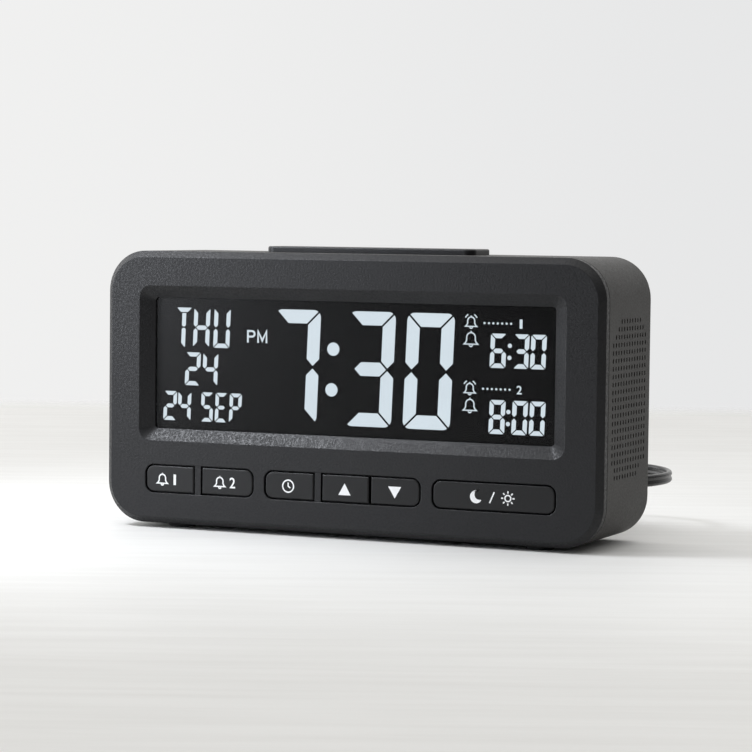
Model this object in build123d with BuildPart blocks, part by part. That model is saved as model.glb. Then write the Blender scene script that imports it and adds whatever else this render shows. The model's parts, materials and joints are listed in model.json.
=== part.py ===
# Bedside day clock: a mains-fed LCD alarm clock in a two-part plastic case.
# Own frame in millimetres: X to the right, Z up, the display faces -Y.
# The origin is at the middle of the footprint, on the surface that the clock stands on.
import os
from math import cos, pi, radians, sin, sqrt, tan

from build123d import *

os.makedirs("parts", exist_ok=True)

# ------------------------------------------------------------------ driving dimensions
# case
case_width = 170.0
case_height = 87.6
case_depth = 44.0
corner_radius = 13.0
foot_lift = 1.5  # clear height under the case
wall = 2.2
back_edge_radius = 1.0
fit_gap = 0.15  # round a piece that is located but doesn't move
seat_gap = 0.1  # between faces that seat on each other
run_gap = 0.05  # radial clearance of a sliding piece

# front bezel
bezel_depth = 4.4
bezel_chamfer = 2.0
face_edge_radius = 0.35  # where the face meets the chamfer and the recess
face_thickness = 2.4
groove_width = 0.4  # shadow line between bezel and housing
groove_depth = 0.8
lip_length = 2.0
lip_wall = 1.4

# display recess and window
recess_side_margin = 12.1  # from the case's sides to the recess
recess_top_margin = 11.1
recess_low_margin = 26.7
recess_radius = 4.0
opening_radius = 1.2
funnel_depth = 2.9
funnel_side = 4.3  # how far the sides slope in
funnel_end = 3.8  # how far the top and the bottom slope in
opening_land = 0.3
window_ledge = 2.0  # how far the window reaches behind the opening's edge
window_thickness = 1.2
window_radius = 1.6
tape_thickness = 0.2
display_boss_wall = 1.8
display_boss_depth = 4.6

# display stack
lcd_gap = 0.3
lcd_margin = 0.8  # from the window's edge to the panel's edge
lcd_thickness = 2.2
guide_thickness = 2.5
guide_short_top = 3.6
led_bar_width = 3.0
led_count = 4
led_length = 3.0
led_pitch = 9.0
led_depth = 1.4
frame_plate = 1.5
frame_rim = 1.6
frame_margin = 3.6  # from the panel's edge to the plate's edge
ear_inset = 8.5  # from the case's sides
ear_radius = 3.2
ear_rise = 15.5  # above and below the display's middle
pin_count = 40
pin_pitch = 3.0
pin_size = 0.5
pin_inset = 1.5  # from the panel's top edge
pin_slot_height = 2.0

# boards
board_thickness = 1.6
main_board_side_gap = 9.8  # from the housing's side walls
main_board_drop = 23.5  # below the display's middle
main_board_rise = 26.5
board_standoff = 2.2
standoff_diameter = 6.0
standoff_inset = 7.0  # from the main board's sides
standoff_drop = 18.5
standoff_rise = 19.0
key_board_width = 143.0
key_board_drop = 5.8  # below the key row's middle
key_board_rise = 11.0
key_boss_diameter = 4.0
key_boss_rise = 8.6
key_boss_pitch = 64.0
chip_size = 14.0
chip_height = 2.0
chip_x = 20.0
chip_drop = 3.5
crystal_length = 8.0
crystal_diameter = 3.0
crystal_space = 2.0  # between the chip and the crystal
capacitor_diameter = 8.0
capacitor_height = 9.0
capacitor_pitch = 11.0
capacitor_x = 44.0
capacitor_rise = 12.5
socket_width = 7.6
socket_height = 5.0
socket_depth = 6.0
power_socket_drop = 17.5
speaker_socket_x = 56.0
speaker_socket_drop = 5.5
battery_socket_x = 8.0

# front keys
key_row_rise = 14.5  # from the case's bottom to the keys' middle
key_window_height = 9.2
key_window_radius = 3.0
key_window_widths = (39.0, 53.8, 40.6)
key_window_space = 3.7
rib_width = 2.1
alarm_rib_x = -51.35
mode_rib_x = -8.95
arrow_gap_x = 8.9
key_gap = 0.4
arrow_gap = 0.7
key_sink = 0.1  # key face below the bezel face
key_edge_radius = 0.5
window_edge_radius = 0.25
key_flange = 1.0
key_flange_thickness = 1.8
key_travel = 0.8

# tactile switches
switch_size = 6.0
switch_height = 3.5
plunger_diameter = 3.5
plunger_length = 2.2
plunger_proud = 1.0

# snooze bar
snooze_length = 72.0
snooze_width = 16.0
snooze_radius = 3.0
snooze_proud = 1.9
snooze_y = 2.0
snooze_edge = 0.6
snooze_gap = 0.4
snooze_flange = 2.4
snooze_flange_thickness = 1.2
snooze_travel = 1.5
guide_post_x = 26.0
guide_post_diameter = 4.0
bracket_drop = 9.5  # from the housing's top wall to the bracket's underside
bracket_thickness = 2.0
bracket_length = 96.0
bracket_width = 14.0
bracket_boss_x = 43.5
bracket_boss_diameter = 6.0
snooze_board_length = 20.0
snooze_board_width = 12.0
snooze_board_thickness = 1.2
snooze_switch_height = 3.0
spring_wire = 0.5
snooze_spring_diameter = 5.6
snooze_spring_turns = 4

# speaker and grille on the right-hand side
grille_y = 1.5
grille_rise = 0.9  # above the case's middle
grille_columns = 13
grille_rows = 21
grille_pitch_y = 2.48
grille_pitch_z = 2.37
slot_width = 0.9
slot_height = 1.5
grille_low_rows = ((1, 3), (1, 2))  # slots left out at the front and back, from the bottom row up
grille_top_rows = ((3, 2), (2, 1), (1, 0))  # and from the top row down
mesh_thickness = 0.3
mesh_margin = 1.0
speaker_diameter = 30.0
speaker_rim = 1.9
basket_depth = 5.0
basket_wall = 0.8
cone_diameter = 25.0
cone_thickness = 0.4
magnet_diameter = 15.0
magnet_length = 4.5
cap_diameter = 8.0
speaker_boss_diameter = 3.8
speaker_boss_radius = 17.3
speaker_boss_angle = 26.0

# case screws
case_screw_inset = 8.0  # from the case's sides
case_screw_rise = 24.1  # from the case's bottom
case_screw_drop = 8.5  # from the case's top
case_boss_diameter = 6.4
case_boss_depth = 10.0  # from the bezel's face to where the bosses meet
case_head_hole = 5.4
case_screw_grip = 8.0  # housing boss under a screw's head
case_screw_reach = 5.4  # thread engaged in the bezel

# screw sizes: head diameter, head height, shank diameter
case_screw = (4.8, 1.8, 2.6)
small_screw = (3.8, 1.3, 2.0)
wide_screw = (5.6, 1.2, 2.0)
thread_gap = 0.04
screw_hole_gap = 0.2
cross_width = 0.6
cross_depth = 0.7
cross_share = 0.6  # of the head's diameter
small_screw_length = 5.0

# backup battery bay in the back
bay_x = -36.0
bay_rise = 1.3  # above the case's middle
bay_wall = 1.5
cell_diameter = 10.5
cell_length = 44.5
cell_nub_length = 0.8
cell_nub_diameter = 3.8
cell_lift = 0.3
cell_side_room = 0.8  # beside each cell
cell_back_room = 2.0  # between the cells and the back wall's inner face
cell_spring_room = 4.0
cell_spring_diameter = 5.2
cell_spring_turns = 3
contact_thickness = 0.4
contact_width = 8.0
tail_width = 3.0
tail_length = 5.0
solder_height = 1.0  # from a contact tail's end to its wire
door_ledge = 2.8
door_thickness = 2.0
door_gap = 0.3
door_corner = 1.0
tab_width = 6.0
tab_reach = 1.8
tab_root = 2.0
tab_thickness = 1.1
tab_drop = 0.25  # below the back wall's inner face
tab_x = 18.0
grip_width = 12.0
grip_depth = 0.8
grip_height = 5.0
grip_radius = 1.0

# rubber feet
foot_diameter = 9.0
foot_thickness = 2.0
foot_chamfer = 0.4
foot_inset_x = 23.0
foot_inset_y = 10.0

# mains-side lead: a flat twin flex, modelled here as a round one of the same width
cord_diameter = 3.8
exit_x = 8.0
exit_rise = 15.1  # above the case's bottom
relief_tail = 24.0
relief_root_diameter = 8.0
relief_tip_diameter = 5.0
relief_flange_diameter = 11.0
relief_flange = 1.4
relief_groove_diameter = 7.0
relief_hole_gap = 0.15
coil_x = 38.0
coil_y = 50.0
coil_mid_radius = 21.0
coil_band = 7.2  # radial width of the wound turns
coil_layers = 3
layer_pitch = 3.9
tie_thickness = 0.5
tie_width = 8.0
plug_grip_length = 24.0
plug_grip_width = 15.0
plug_grip_height = 7.6
plug_edge_radius = 2.2
plug_neck_length = 8.4
plug_neck_width = 9.0
plug_neck_height = 6.4
plug_shell_width = 12.0
plug_shell_height = 4.5
plug_shell_length = 12.0
plug_shell_wall = 0.35
plug_window_size = 2.4
plug_window_reach = 6.6  # from the grip to the windows' middles
plug_tongue_height = 1.8
plug_tongue_setback = 1.0
plug_x = -48.0
plug_y = 42.0

# inner leads
lead_diameter = 1.3
terminal_depth = 5.0
terminal_width = 6.0
terminal_thickness = 0.8

# ------------------------------------------------------------------ derived places
front_y = -case_depth / 2
back_y = case_depth / 2
mid_z = foot_lift + case_height / 2
top_z = foot_lift + case_height
parting_y = front_y + bezel_depth
housing_front_y = parting_y + groove_width
face_back_y = front_y + face_thickness
back_wall_y = back_y - wall
top_wall_z = top_z - wall
side_wall_x = case_width / 2 - wall
lip_inset = wall + fit_gap
cavity_inset = lip_inset + lip_wall
exit_z = foot_lift + exit_rise
case_screw_x = case_width / 2 - case_screw_inset
case_screw_low_z = foot_lift + case_screw_rise
case_screw_high_z = top_z - case_screw_drop
case_boss_end_y = front_y + case_boss_depth
case_screw_seat_y = case_boss_end_y + case_screw_grip
foot_x = case_width / 2 - foot_inset_x
foot_y = case_depth / 2 - foot_inset_y

recess_width = case_width - 2 * recess_side_margin
recess_height = case_height - recess_top_margin - recess_low_margin
display_z = foot_lift + recess_low_margin + recess_height / 2
opening_width = recess_width - 2 * funnel_side
opening_height = recess_height - 2 * funnel_end

ledge_y = front_y + funnel_depth + opening_land
window_front_y = ledge_y + tape_thickness
window_back_y = window_front_y + window_thickness
window_width = opening_width + 2 * window_ledge
window_height = opening_height + 2 * window_ledge
display_boss_y = face_back_y + display_boss_depth
lcd_front_y = window_back_y + lcd_gap
lcd_back_y = lcd_front_y + lcd_thickness
lcd_width = window_width - 2 * lcd_margin
lcd_height = window_height - 2 * lcd_margin
lcd_top_z = display_z + lcd_height / 2
guide_back_y = lcd_back_y + guide_thickness
frame_back_y = guide_back_y + frame_plate
ear_x = case_width / 2 - ear_inset
main_board_y = frame_back_y + board_standoff
main_board_back_y = main_board_y + board_thickness
main_board_width = 2 * (side_wall_x - main_board_side_gap)
standoff_x = main_board_width / 2 - standoff_inset
chip_z = display_z - chip_drop
pin_z = lcd_top_z - pin_inset

key_row_z = foot_lift + key_row_rise
key_row_width = sum(key_window_widths) + key_window_space * (len(key_window_widths) - 1)
key_back_y = face_back_y + seat_gap + key_flange_thickness
switch_front_y = key_back_y + plunger_proud
key_board_y = switch_front_y + switch_height
key_board_back_y = key_board_y + board_thickness

flange_top_z = top_wall_z - seat_gap
flange_low_z = flange_top_z - snooze_flange_thickness
bracket_low_z = top_wall_z - bracket_drop
bracket_top_z = bracket_low_z + bracket_thickness
snooze_board_z = bracket_top_z + snooze_board_thickness

grille_z = mid_z + grille_rise
mesh_x = side_wall_x - mesh_thickness
speaker_back_x = mesh_x - speaker_rim
terminal_x = speaker_back_x - terminal_depth
terminal_z = grille_z + (speaker_diameter + cone_diameter) / 4
bay_z = mid_z + bay_rise
bay_length = (cell_length + cell_nub_length + cell_spring_room
              + 2 * contact_thickness + 2 * fit_gap)
bay_height = 2 * (cell_diameter + cell_side_room)
bay_floor_y = back_wall_y - cell_back_room - cell_diameter - cell_lift
cell_y = bay_floor_y + cell_lift + cell_diameter / 2
cell_pitch = bay_height / 2
cell_rows = [(bay_z + side * cell_pitch / 2, side) for side in (-1, 1)]
contact_tail_x = bay_x + bay_length / 2
contact_tail_y = bay_floor_y - tail_length + solder_height
door_length = bay_length + 2 * door_ledge - 2 * door_gap
door_height = bay_height + 2 * door_ledge - 2 * door_gap
door_hole_length = door_length + 2 * door_gap
door_hole_height = door_height + 2 * door_gap
door_low_z = bay_z - door_height / 2
ledge_back_y = back_wall_y - bay_wall

coil_low_z = tie_thickness
coil_height = coil_layers * layer_pitch


# ------------------------------------------------------------------ shared shapes
def facing(y):
    # the plane at depth y, seen from the front: its x is right and its y is up
    return Plane.XZ.offset(-y)


def slab(y_front, y_back, size, radius=0.0, at=(0.0, 0.0), mode=Mode.ADD):
    # a plate square to Y between two depths
    with BuildSketch(facing(y_back)) as outline:
        with Locations(at):
            if radius > 0:
                RectangleRounded(*size, radius)
            else:
                Rectangle(*size)
    extrude(outline.sketch, amount=y_back - y_front, mode=mode)


def case_slab(y_front, y_back, inset, mode=Mode.ADD):
    # a plate of the case's own outline, drawn in by inset all round
    size = (case_width - 2 * inset, case_height - 2 * inset)
    slab(y_front, y_back, size, corner_radius - inset, (0, mid_z), mode)


def posts(points, diameter, y_front, y_back, mode=Mode.ADD):
    # round posts or holes along Y, at (x, z) points
    with BuildSketch(facing(y_back)) as rounds:
        with Locations(*points):
            Circle(diameter / 2)
    extrude(rounds.sketch, amount=y_back - y_front, mode=mode)


def block(x, y, z, mode=Mode.ADD):
    # a box given by its (low, high) pair on each axis
    middle = [(low + high) / 2 for low, high in (x, y, z)]
    size = [high - low for low, high in (x, y, z)]
    with Locations(tuple(middle)):
        Box(*size, mode=mode)


def screws(points, plane, sizes, length):
    # cross-head screws whose heads sit on the plane and whose shanks go in behind it
    head_diameter, head_height, shank_diameter = sizes
    with BuildSketch(plane) as heads:
        with Locations(*points):
            Circle(head_diameter / 2)
    extrude(heads.sketch, amount=head_height)
    with BuildSketch(plane) as shanks:
        with Locations(*points):
            Circle(shank_diameter / 2)
    extrude(shanks.sketch, amount=-length)
    with BuildSketch(plane.offset(head_height)) as crosses:
        with Locations(*points):
            Rectangle(head_diameter * cross_share, cross_width)
            Rectangle(cross_width, head_diameter * cross_share)
    extrude(crosses.sketch, amount=-cross_depth, mode=Mode.SUBTRACT)


def spring(start, direction, radius, rise, turn_count):
    # a round-wire coil spring that climbs from its start along a direction
    with BuildLine() as turns:
        Helix(rise / turn_count, rise, radius, center=start, direction=direction)
    with BuildSketch(Plane(origin=turns.line @ 0, z_dir=turns.line % 0)) as wire:
        Circle(spring_wire / 2)
    sweep(wire.sketch, path=turns.line, is_frenet=True)


def save(piece, name):
    piece.part.label = name
    export_step(piece.part, f"parts/{name}.step")


def backwards(y):
    # the plane at depth y, seen from behind: its x is left and its y is up
    return Plane(origin=(0, y, 0), x_dir=(-1, 0, 0), z_dir=(0, 1, 0))


def from_behind(points):
    return [(-x, z) for x, z in points]


small_pilot = small_screw[2] + 2 * thread_gap
pilot_depth = small_screw_length - board_thickness + fit_gap
ear_hole = small_screw[2] + 2 * screw_hole_gap
ear_points = [(side * ear_x, display_z + end * ear_rise) for side in (-1, 1) for end in (-1, 1)]
standoff_points = [
    (side * standoff_x, z)
    for side in (-1, 1)
    for z in (display_z - standoff_drop, display_z + standoff_rise)
]
case_screw_points = [
    (side * case_screw_x, z) for side in (-1, 1) for z in (case_screw_low_z, case_screw_high_z)
]
key_boss_points = [(step * key_boss_pitch, key_row_z + key_boss_rise) for step in (-1, 0, 1)]
bracket_boss_points = [(side * bracket_boss_x, snooze_y) for side in (-1, 1)]

# key windows as (left, right) edges, left to right along the row
key_windows = []
window_left = -key_row_width / 2
for window_span in key_window_widths:
    key_windows.append((window_left, window_left + window_span))
    window_left += window_span + key_window_space

# ------------------------------------------------------------------ front bezel
with BuildPart() as front_bezel:
    case_slab(front_y, parting_y, 0)
    chamfer(front_bezel.faces().sort_by(Axis.Y)[0].edges(), length=bezel_chamfer)
    fillet(front_bezel.faces().sort_by(Axis.Y)[0].edges(), radius=face_edge_radius)
    case_slab(parting_y, housing_front_y, groove_depth)
    case_slab(housing_front_y, housing_front_y + lip_length, lip_inset)
    case_slab(face_back_y, housing_front_y + lip_length, cavity_inset, Mode.SUBTRACT)
    # boss behind the recess, with the pocket that the window drops into
    pocket_width = window_width + 2 * fit_gap
    pocket_height = window_height + 2 * fit_gap
    boss_size = (pocket_width + 2 * display_boss_wall, pocket_height + 2 * display_boss_wall)
    slab(face_back_y, display_boss_y, boss_size, window_radius, (0, display_z))
    with BuildSketch(facing(front_y)) as recess_mouth:
        with Locations((0, display_z)):
            RectangleRounded(recess_width, recess_height, recess_radius)
    with BuildSketch(facing(front_y + funnel_depth)) as recess_throat:
        with Locations((0, display_z)):
            RectangleRounded(opening_width, opening_height, opening_radius)
    loft([recess_mouth.sketch.face(), recess_throat.sketch.face()], mode=Mode.SUBTRACT)
    slab(front_y + funnel_depth, ledge_y, (opening_width, opening_height), opening_radius,
         (0, display_z), Mode.SUBTRACT)
    slab(ledge_y, display_boss_y, (pocket_width, pocket_height), window_radius,
         (0, display_z), Mode.SUBTRACT)
    mouth_edges = front_bezel.edges().filter_by_position(Axis.Y, front_y - seat_gap, front_y + seat_gap)
    mouth_low_z = display_z - recess_height / 2 - seat_gap
    mouth_high_z = display_z + recess_height / 2 + seat_gap
    mouth_reach = recess_width / 2 + seat_gap
    mouth_edges = mouth_edges.filter_by_position(Axis.Z, mouth_low_z, mouth_high_z)
    fillet(mouth_edges.filter_by_position(Axis.X, -mouth_reach, mouth_reach), radius=face_edge_radius)
    # key windows, each with its ribs left standing
    for left, right in key_windows:
        slab(front_y, face_back_y, (right - left, key_window_height), key_window_radius,
             ((left + right) / 2, key_row_z), Mode.SUBTRACT)
    face_edges = front_bezel.edges().filter_by_position(Axis.Y, front_y - seat_gap, front_y + seat_gap)
    window_low_z = key_row_z - key_window_height / 2 - seat_gap
    window_high_z = key_row_z + key_window_height / 2 + seat_gap
    window_edges = face_edges.filter_by_position(Axis.Z, window_low_z, window_high_z)
    fillet(window_edges, radius=window_edge_radius)
    for rib_x in (alarm_rib_x, mode_rib_x):
        slab(front_y + key_sink, face_back_y, (rib_width, key_window_height), 0.0, (rib_x, key_row_z))
    # screw bosses for the display frame, the key board and the housing
    posts(ear_points, 2 * ear_radius, face_back_y, guide_back_y)
    posts(key_boss_points, key_boss_diameter, face_back_y, key_board_y)
    posts(case_screw_points, case_boss_diameter, face_back_y, case_boss_end_y)
    posts(ear_points, small_pilot, guide_back_y - small_screw_length, guide_back_y, Mode.SUBTRACT)
    posts(key_boss_points, small_pilot, key_board_y - pilot_depth, key_board_y, Mode.SUBTRACT)
    case_pilot = case_screw[2] + 2 * thread_gap
    posts(case_screw_points, case_pilot, case_boss_end_y - case_screw_reach - fit_gap, case_boss_end_y,
          Mode.SUBTRACT)
save(front_bezel, "front_bezel")

# ------------------------------------------------------------------ window and display stack
with BuildPart() as window_tape:
    slab(ledge_y, window_front_y, (window_width, window_height), window_radius, (0, display_z))
    slab(ledge_y, window_front_y, (opening_width, opening_height), opening_radius, (0, display_z),
         Mode.SUBTRACT)
save(window_tape, "window_tape")

with BuildPart() as display_window:
    slab(window_front_y, window_back_y, (window_width, window_height), window_radius, (0, display_z))
save(display_window, "display_window")

with BuildPart() as lcd_panel:
    slab(lcd_front_y, lcd_back_y, (lcd_width, lcd_height), 0.0, (0, display_z))
save(lcd_panel, "lcd_panel")

with BuildPart() as light_guide:
    block((-lcd_width / 2 + led_bar_width, lcd_width / 2), (lcd_back_y, guide_back_y),
          (display_z - lcd_height / 2, lcd_top_z - guide_short_top))
save(light_guide, "light_guide")

with BuildPart() as led_strip:
    strip_left = -lcd_width / 2
    led_left = strip_left + led_bar_width - led_depth - fit_gap
    strip_half = led_pitch * led_count / 2
    block((strip_left, led_left), (lcd_back_y, guide_back_y),
          (display_z - strip_half, display_z + strip_half))
save(led_strip, "led_strip")

with BuildPart() as backlight_leds:
    for index in range(led_count):
        led_z = display_z + (index - (led_count - 1) / 2) * led_pitch
        block((led_left, led_left + led_depth), (lcd_back_y + fit_gap, guide_back_y - fit_gap),
              (led_z - led_length / 2, led_z + led_length / 2))
save(backlight_leds, "backlight_leds")

with BuildPart() as display_frame:
    inner_width = lcd_width + 2 * fit_gap
    inner_height = lcd_height + 2 * fit_gap
    plate_size = (lcd_width + 2 * frame_margin, lcd_height + 2 * frame_margin)
    slab(guide_back_y, frame_back_y, plate_size, window_radius, (0, display_z))
    for end in (-1, 1):
        ear_z = display_z + end * ear_rise
        block((-ear_x, ear_x), (guide_back_y, frame_back_y), (ear_z - ear_radius, ear_z + ear_radius))
    posts(ear_points, 2 * ear_radius, guide_back_y, frame_back_y)
    rim_size = (inner_width + 2 * frame_rim, inner_height + 2 * frame_rim)
    rim_front_y = display_boss_y + seat_gap
    slab(rim_front_y, guide_back_y, rim_size, 0.0, (0, display_z))
    slab(rim_front_y, guide_back_y, (inner_width, inner_height), 0.0, (0, display_z), Mode.SUBTRACT)
    slab(guide_back_y, frame_back_y, ((pin_count + 1) * pin_pitch, pin_slot_height), 0.0, (0, pin_z),
         Mode.SUBTRACT)
    posts(standoff_points, standoff_diameter, frame_back_y, main_board_y)
    posts(standoff_points, small_pilot, main_board_y - pilot_depth, main_board_y, Mode.SUBTRACT)
    posts(ear_points, ear_hole, guide_back_y, frame_back_y, Mode.SUBTRACT)
save(display_frame, "display_frame")

with BuildPart() as lcd_pins:
    for index in range(pin_count):
        pin_x = (index - (pin_count - 1) / 2) * pin_pitch
        block((pin_x - pin_size / 2, pin_x + pin_size / 2), (lcd_back_y, main_board_back_y + seat_gap),
              (pin_z - pin_size / 2, pin_z + pin_size / 2))
save(lcd_pins, "lcd_pins")

# ------------------------------------------------------------------ main board
with BuildPart() as main_board:
    block((-main_board_width / 2, main_board_width / 2), (main_board_y, main_board_back_y),
          (display_z - main_board_drop, display_z + main_board_rise))
    posts(standoff_points, ear_hole, main_board_y, main_board_back_y, Mode.SUBTRACT)
    slab(main_board_y, main_board_back_y, ((pin_count + 1) * pin_pitch, pin_slot_height / 2), 0.0, (0, pin_z),
         Mode.SUBTRACT)
save(main_board, "main_board")

with BuildPart() as controller_chip:
    slab(main_board_back_y, main_board_back_y + chip_height, (chip_size, chip_size), 0.0, (chip_x, chip_z))
save(controller_chip, "controller_chip")

with BuildPart() as crystal:
    crystal_z = chip_z + chip_size / 2 + crystal_length / 2 + crystal_space
    with Locations((chip_x, main_board_back_y + crystal_diameter / 2, crystal_z)):
        Cylinder(crystal_diameter / 2, crystal_length)
save(crystal, "crystal")

with BuildPart() as capacitors:
    capacitor_z = display_z + capacitor_rise
    capacitor_points = [(capacitor_x + step * capacitor_pitch, capacitor_z) for step in (0, 1)]
    posts(capacitor_points, capacitor_diameter, main_board_back_y, main_board_back_y + capacitor_height)
save(capacitors, "capacitors")

# wire sockets: lead-in, speaker, backup cells
socket_points = {
    "power": (exit_x, display_z - power_socket_drop),
    "speaker": (speaker_socket_x, display_z - speaker_socket_drop),
    "battery": (battery_socket_x, bay_z),
}
socket_back_y = main_board_back_y + socket_depth
with BuildPart() as wire_sockets:
    for socket_x, socket_z in socket_points.values():
        slab(main_board_back_y, socket_back_y, (socket_width, socket_height), 0.0, (socket_x, socket_z))
save(wire_sockets, "wire_sockets")

# ------------------------------------------------------------------ keys, switches and key board
key_faces = {  # name: (window, left edge, right edge); a window's own ends are left to its outline
    "alarm_1": (0, None, alarm_rib_x - rib_width / 2 - key_gap),
    "alarm_2": (0, alarm_rib_x + rib_width / 2 + key_gap, None),
    "mode": (1, None, mode_rib_x - rib_width / 2 - key_gap),
    "up": (1, mode_rib_x + rib_width / 2 + key_gap, arrow_gap_x - arrow_gap / 2),
    "down": (1, arrow_gap_x + arrow_gap / 2, None),
    "snooze_light": (2, None, None),
}
key_centres = {}
for key_name, (window, left, right) in key_faces.items():
    window_low, window_high = key_windows[window]
    low = window_low - key_flange if left is None else left
    high = window_high + key_flange if right is None else right
    face_low = max(low, window_low)
    face_high = min(high, window_high)
    key_centres[key_name] = (face_low + face_high) / 2


def key_slice(key_name, grow, y_front, y_back):
    # one key's share of its window, grown or shrunk from the window's edge
    window, left, right = key_faces[key_name]
    window_low, window_high = key_windows[window]
    low = window_low - key_flange if left is None else left
    high = window_high + key_flange if right is None else right
    width = window_high - window_low + 2 * grow
    height = key_window_height + 2 * grow
    with BuildSketch(facing(y_back)) as outline:
        with Locations(((window_low + window_high) / 2, key_row_z)):
            RectangleRounded(width, height, key_window_radius + grow)
        with Locations(((low + high) / 2, key_row_z)):
            Rectangle(high - low, height, mode=Mode.INTERSECT)
    extrude(outline.sketch, amount=y_back - y_front)


for key_name in key_faces:
    with BuildPart() as key:
        key_slice(key_name, -key_gap, front_y + key_sink, face_back_y + seat_gap)
        fillet(key.faces().sort_by(Axis.Y)[0].edges(), radius=key_edge_radius)
        key_slice(key_name, key_flange, face_back_y + seat_gap, key_back_y)
    save(key, f"{key_name}_button")
    with BuildPart() as plunger:
        posts([(key_centres[key_name], key_row_z)], plunger_diameter, key_back_y, key_back_y + plunger_length)
    save(plunger, f"{key_name}_plunger")

switch_points = [(x, key_row_z) for x in key_centres.values()]
with BuildPart() as key_switches:
    with BuildSketch(facing(key_board_y)) as switch_bodies:
        with Locations(*switch_points):
            Rectangle(switch_size, switch_size)
    extrude(switch_bodies.sketch, amount=switch_height)
    well_depth = plunger_length - plunger_proud + key_travel + fit_gap
    posts(switch_points, plunger_diameter + 2 * run_gap, switch_front_y, switch_front_y + well_depth,
          Mode.SUBTRACT)
save(key_switches, "key_switches")

with BuildPart() as key_board:
    block((-key_board_width / 2, key_board_width / 2), (key_board_y, key_board_back_y),
          (key_row_z - key_board_drop, key_row_z + key_board_rise))
    posts(key_boss_points, ear_hole, key_board_y, key_board_back_y, Mode.SUBTRACT)
save(key_board, "key_board")

# ------------------------------------------------------------------ rear housing
snooze_hole = (snooze_length + 2 * snooze_gap, snooze_width + 2 * snooze_gap)
grille_middle = (grille_columns // 2, grille_rows // 2)


def slot_left_out(column, row):
    # the grille's corners are cut back
    row_from_top = grille_rows - 1 - row
    at_front, at_back = 0, 0
    if row < len(grille_low_rows):
        at_front, at_back = grille_low_rows[row]
    elif row_from_top < len(grille_top_rows):
        at_front, at_back = grille_top_rows[row_from_top]
    return not at_front <= column < grille_columns - at_back


slot_points = [
    (grille_y + (column - grille_middle[0]) * grille_pitch_y,
     grille_z + (row - grille_middle[1]) * grille_pitch_z)
    for column in range(grille_columns)
    for row in range(grille_rows)
    if not slot_left_out(column, row)
]
speaker_boss_points = [
    (grille_y + side * speaker_boss_radius * sin(radians(speaker_boss_angle)),
     grille_z + end * speaker_boss_radius * cos(radians(speaker_boss_angle)))
    for side in (-1, 1)
    for end in (-1, 1)
]
exit_point = (exit_x, exit_z)
tab_points = [(bay_x + side * tab_x, door_low_z) for side in (-1, 1)]

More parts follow.
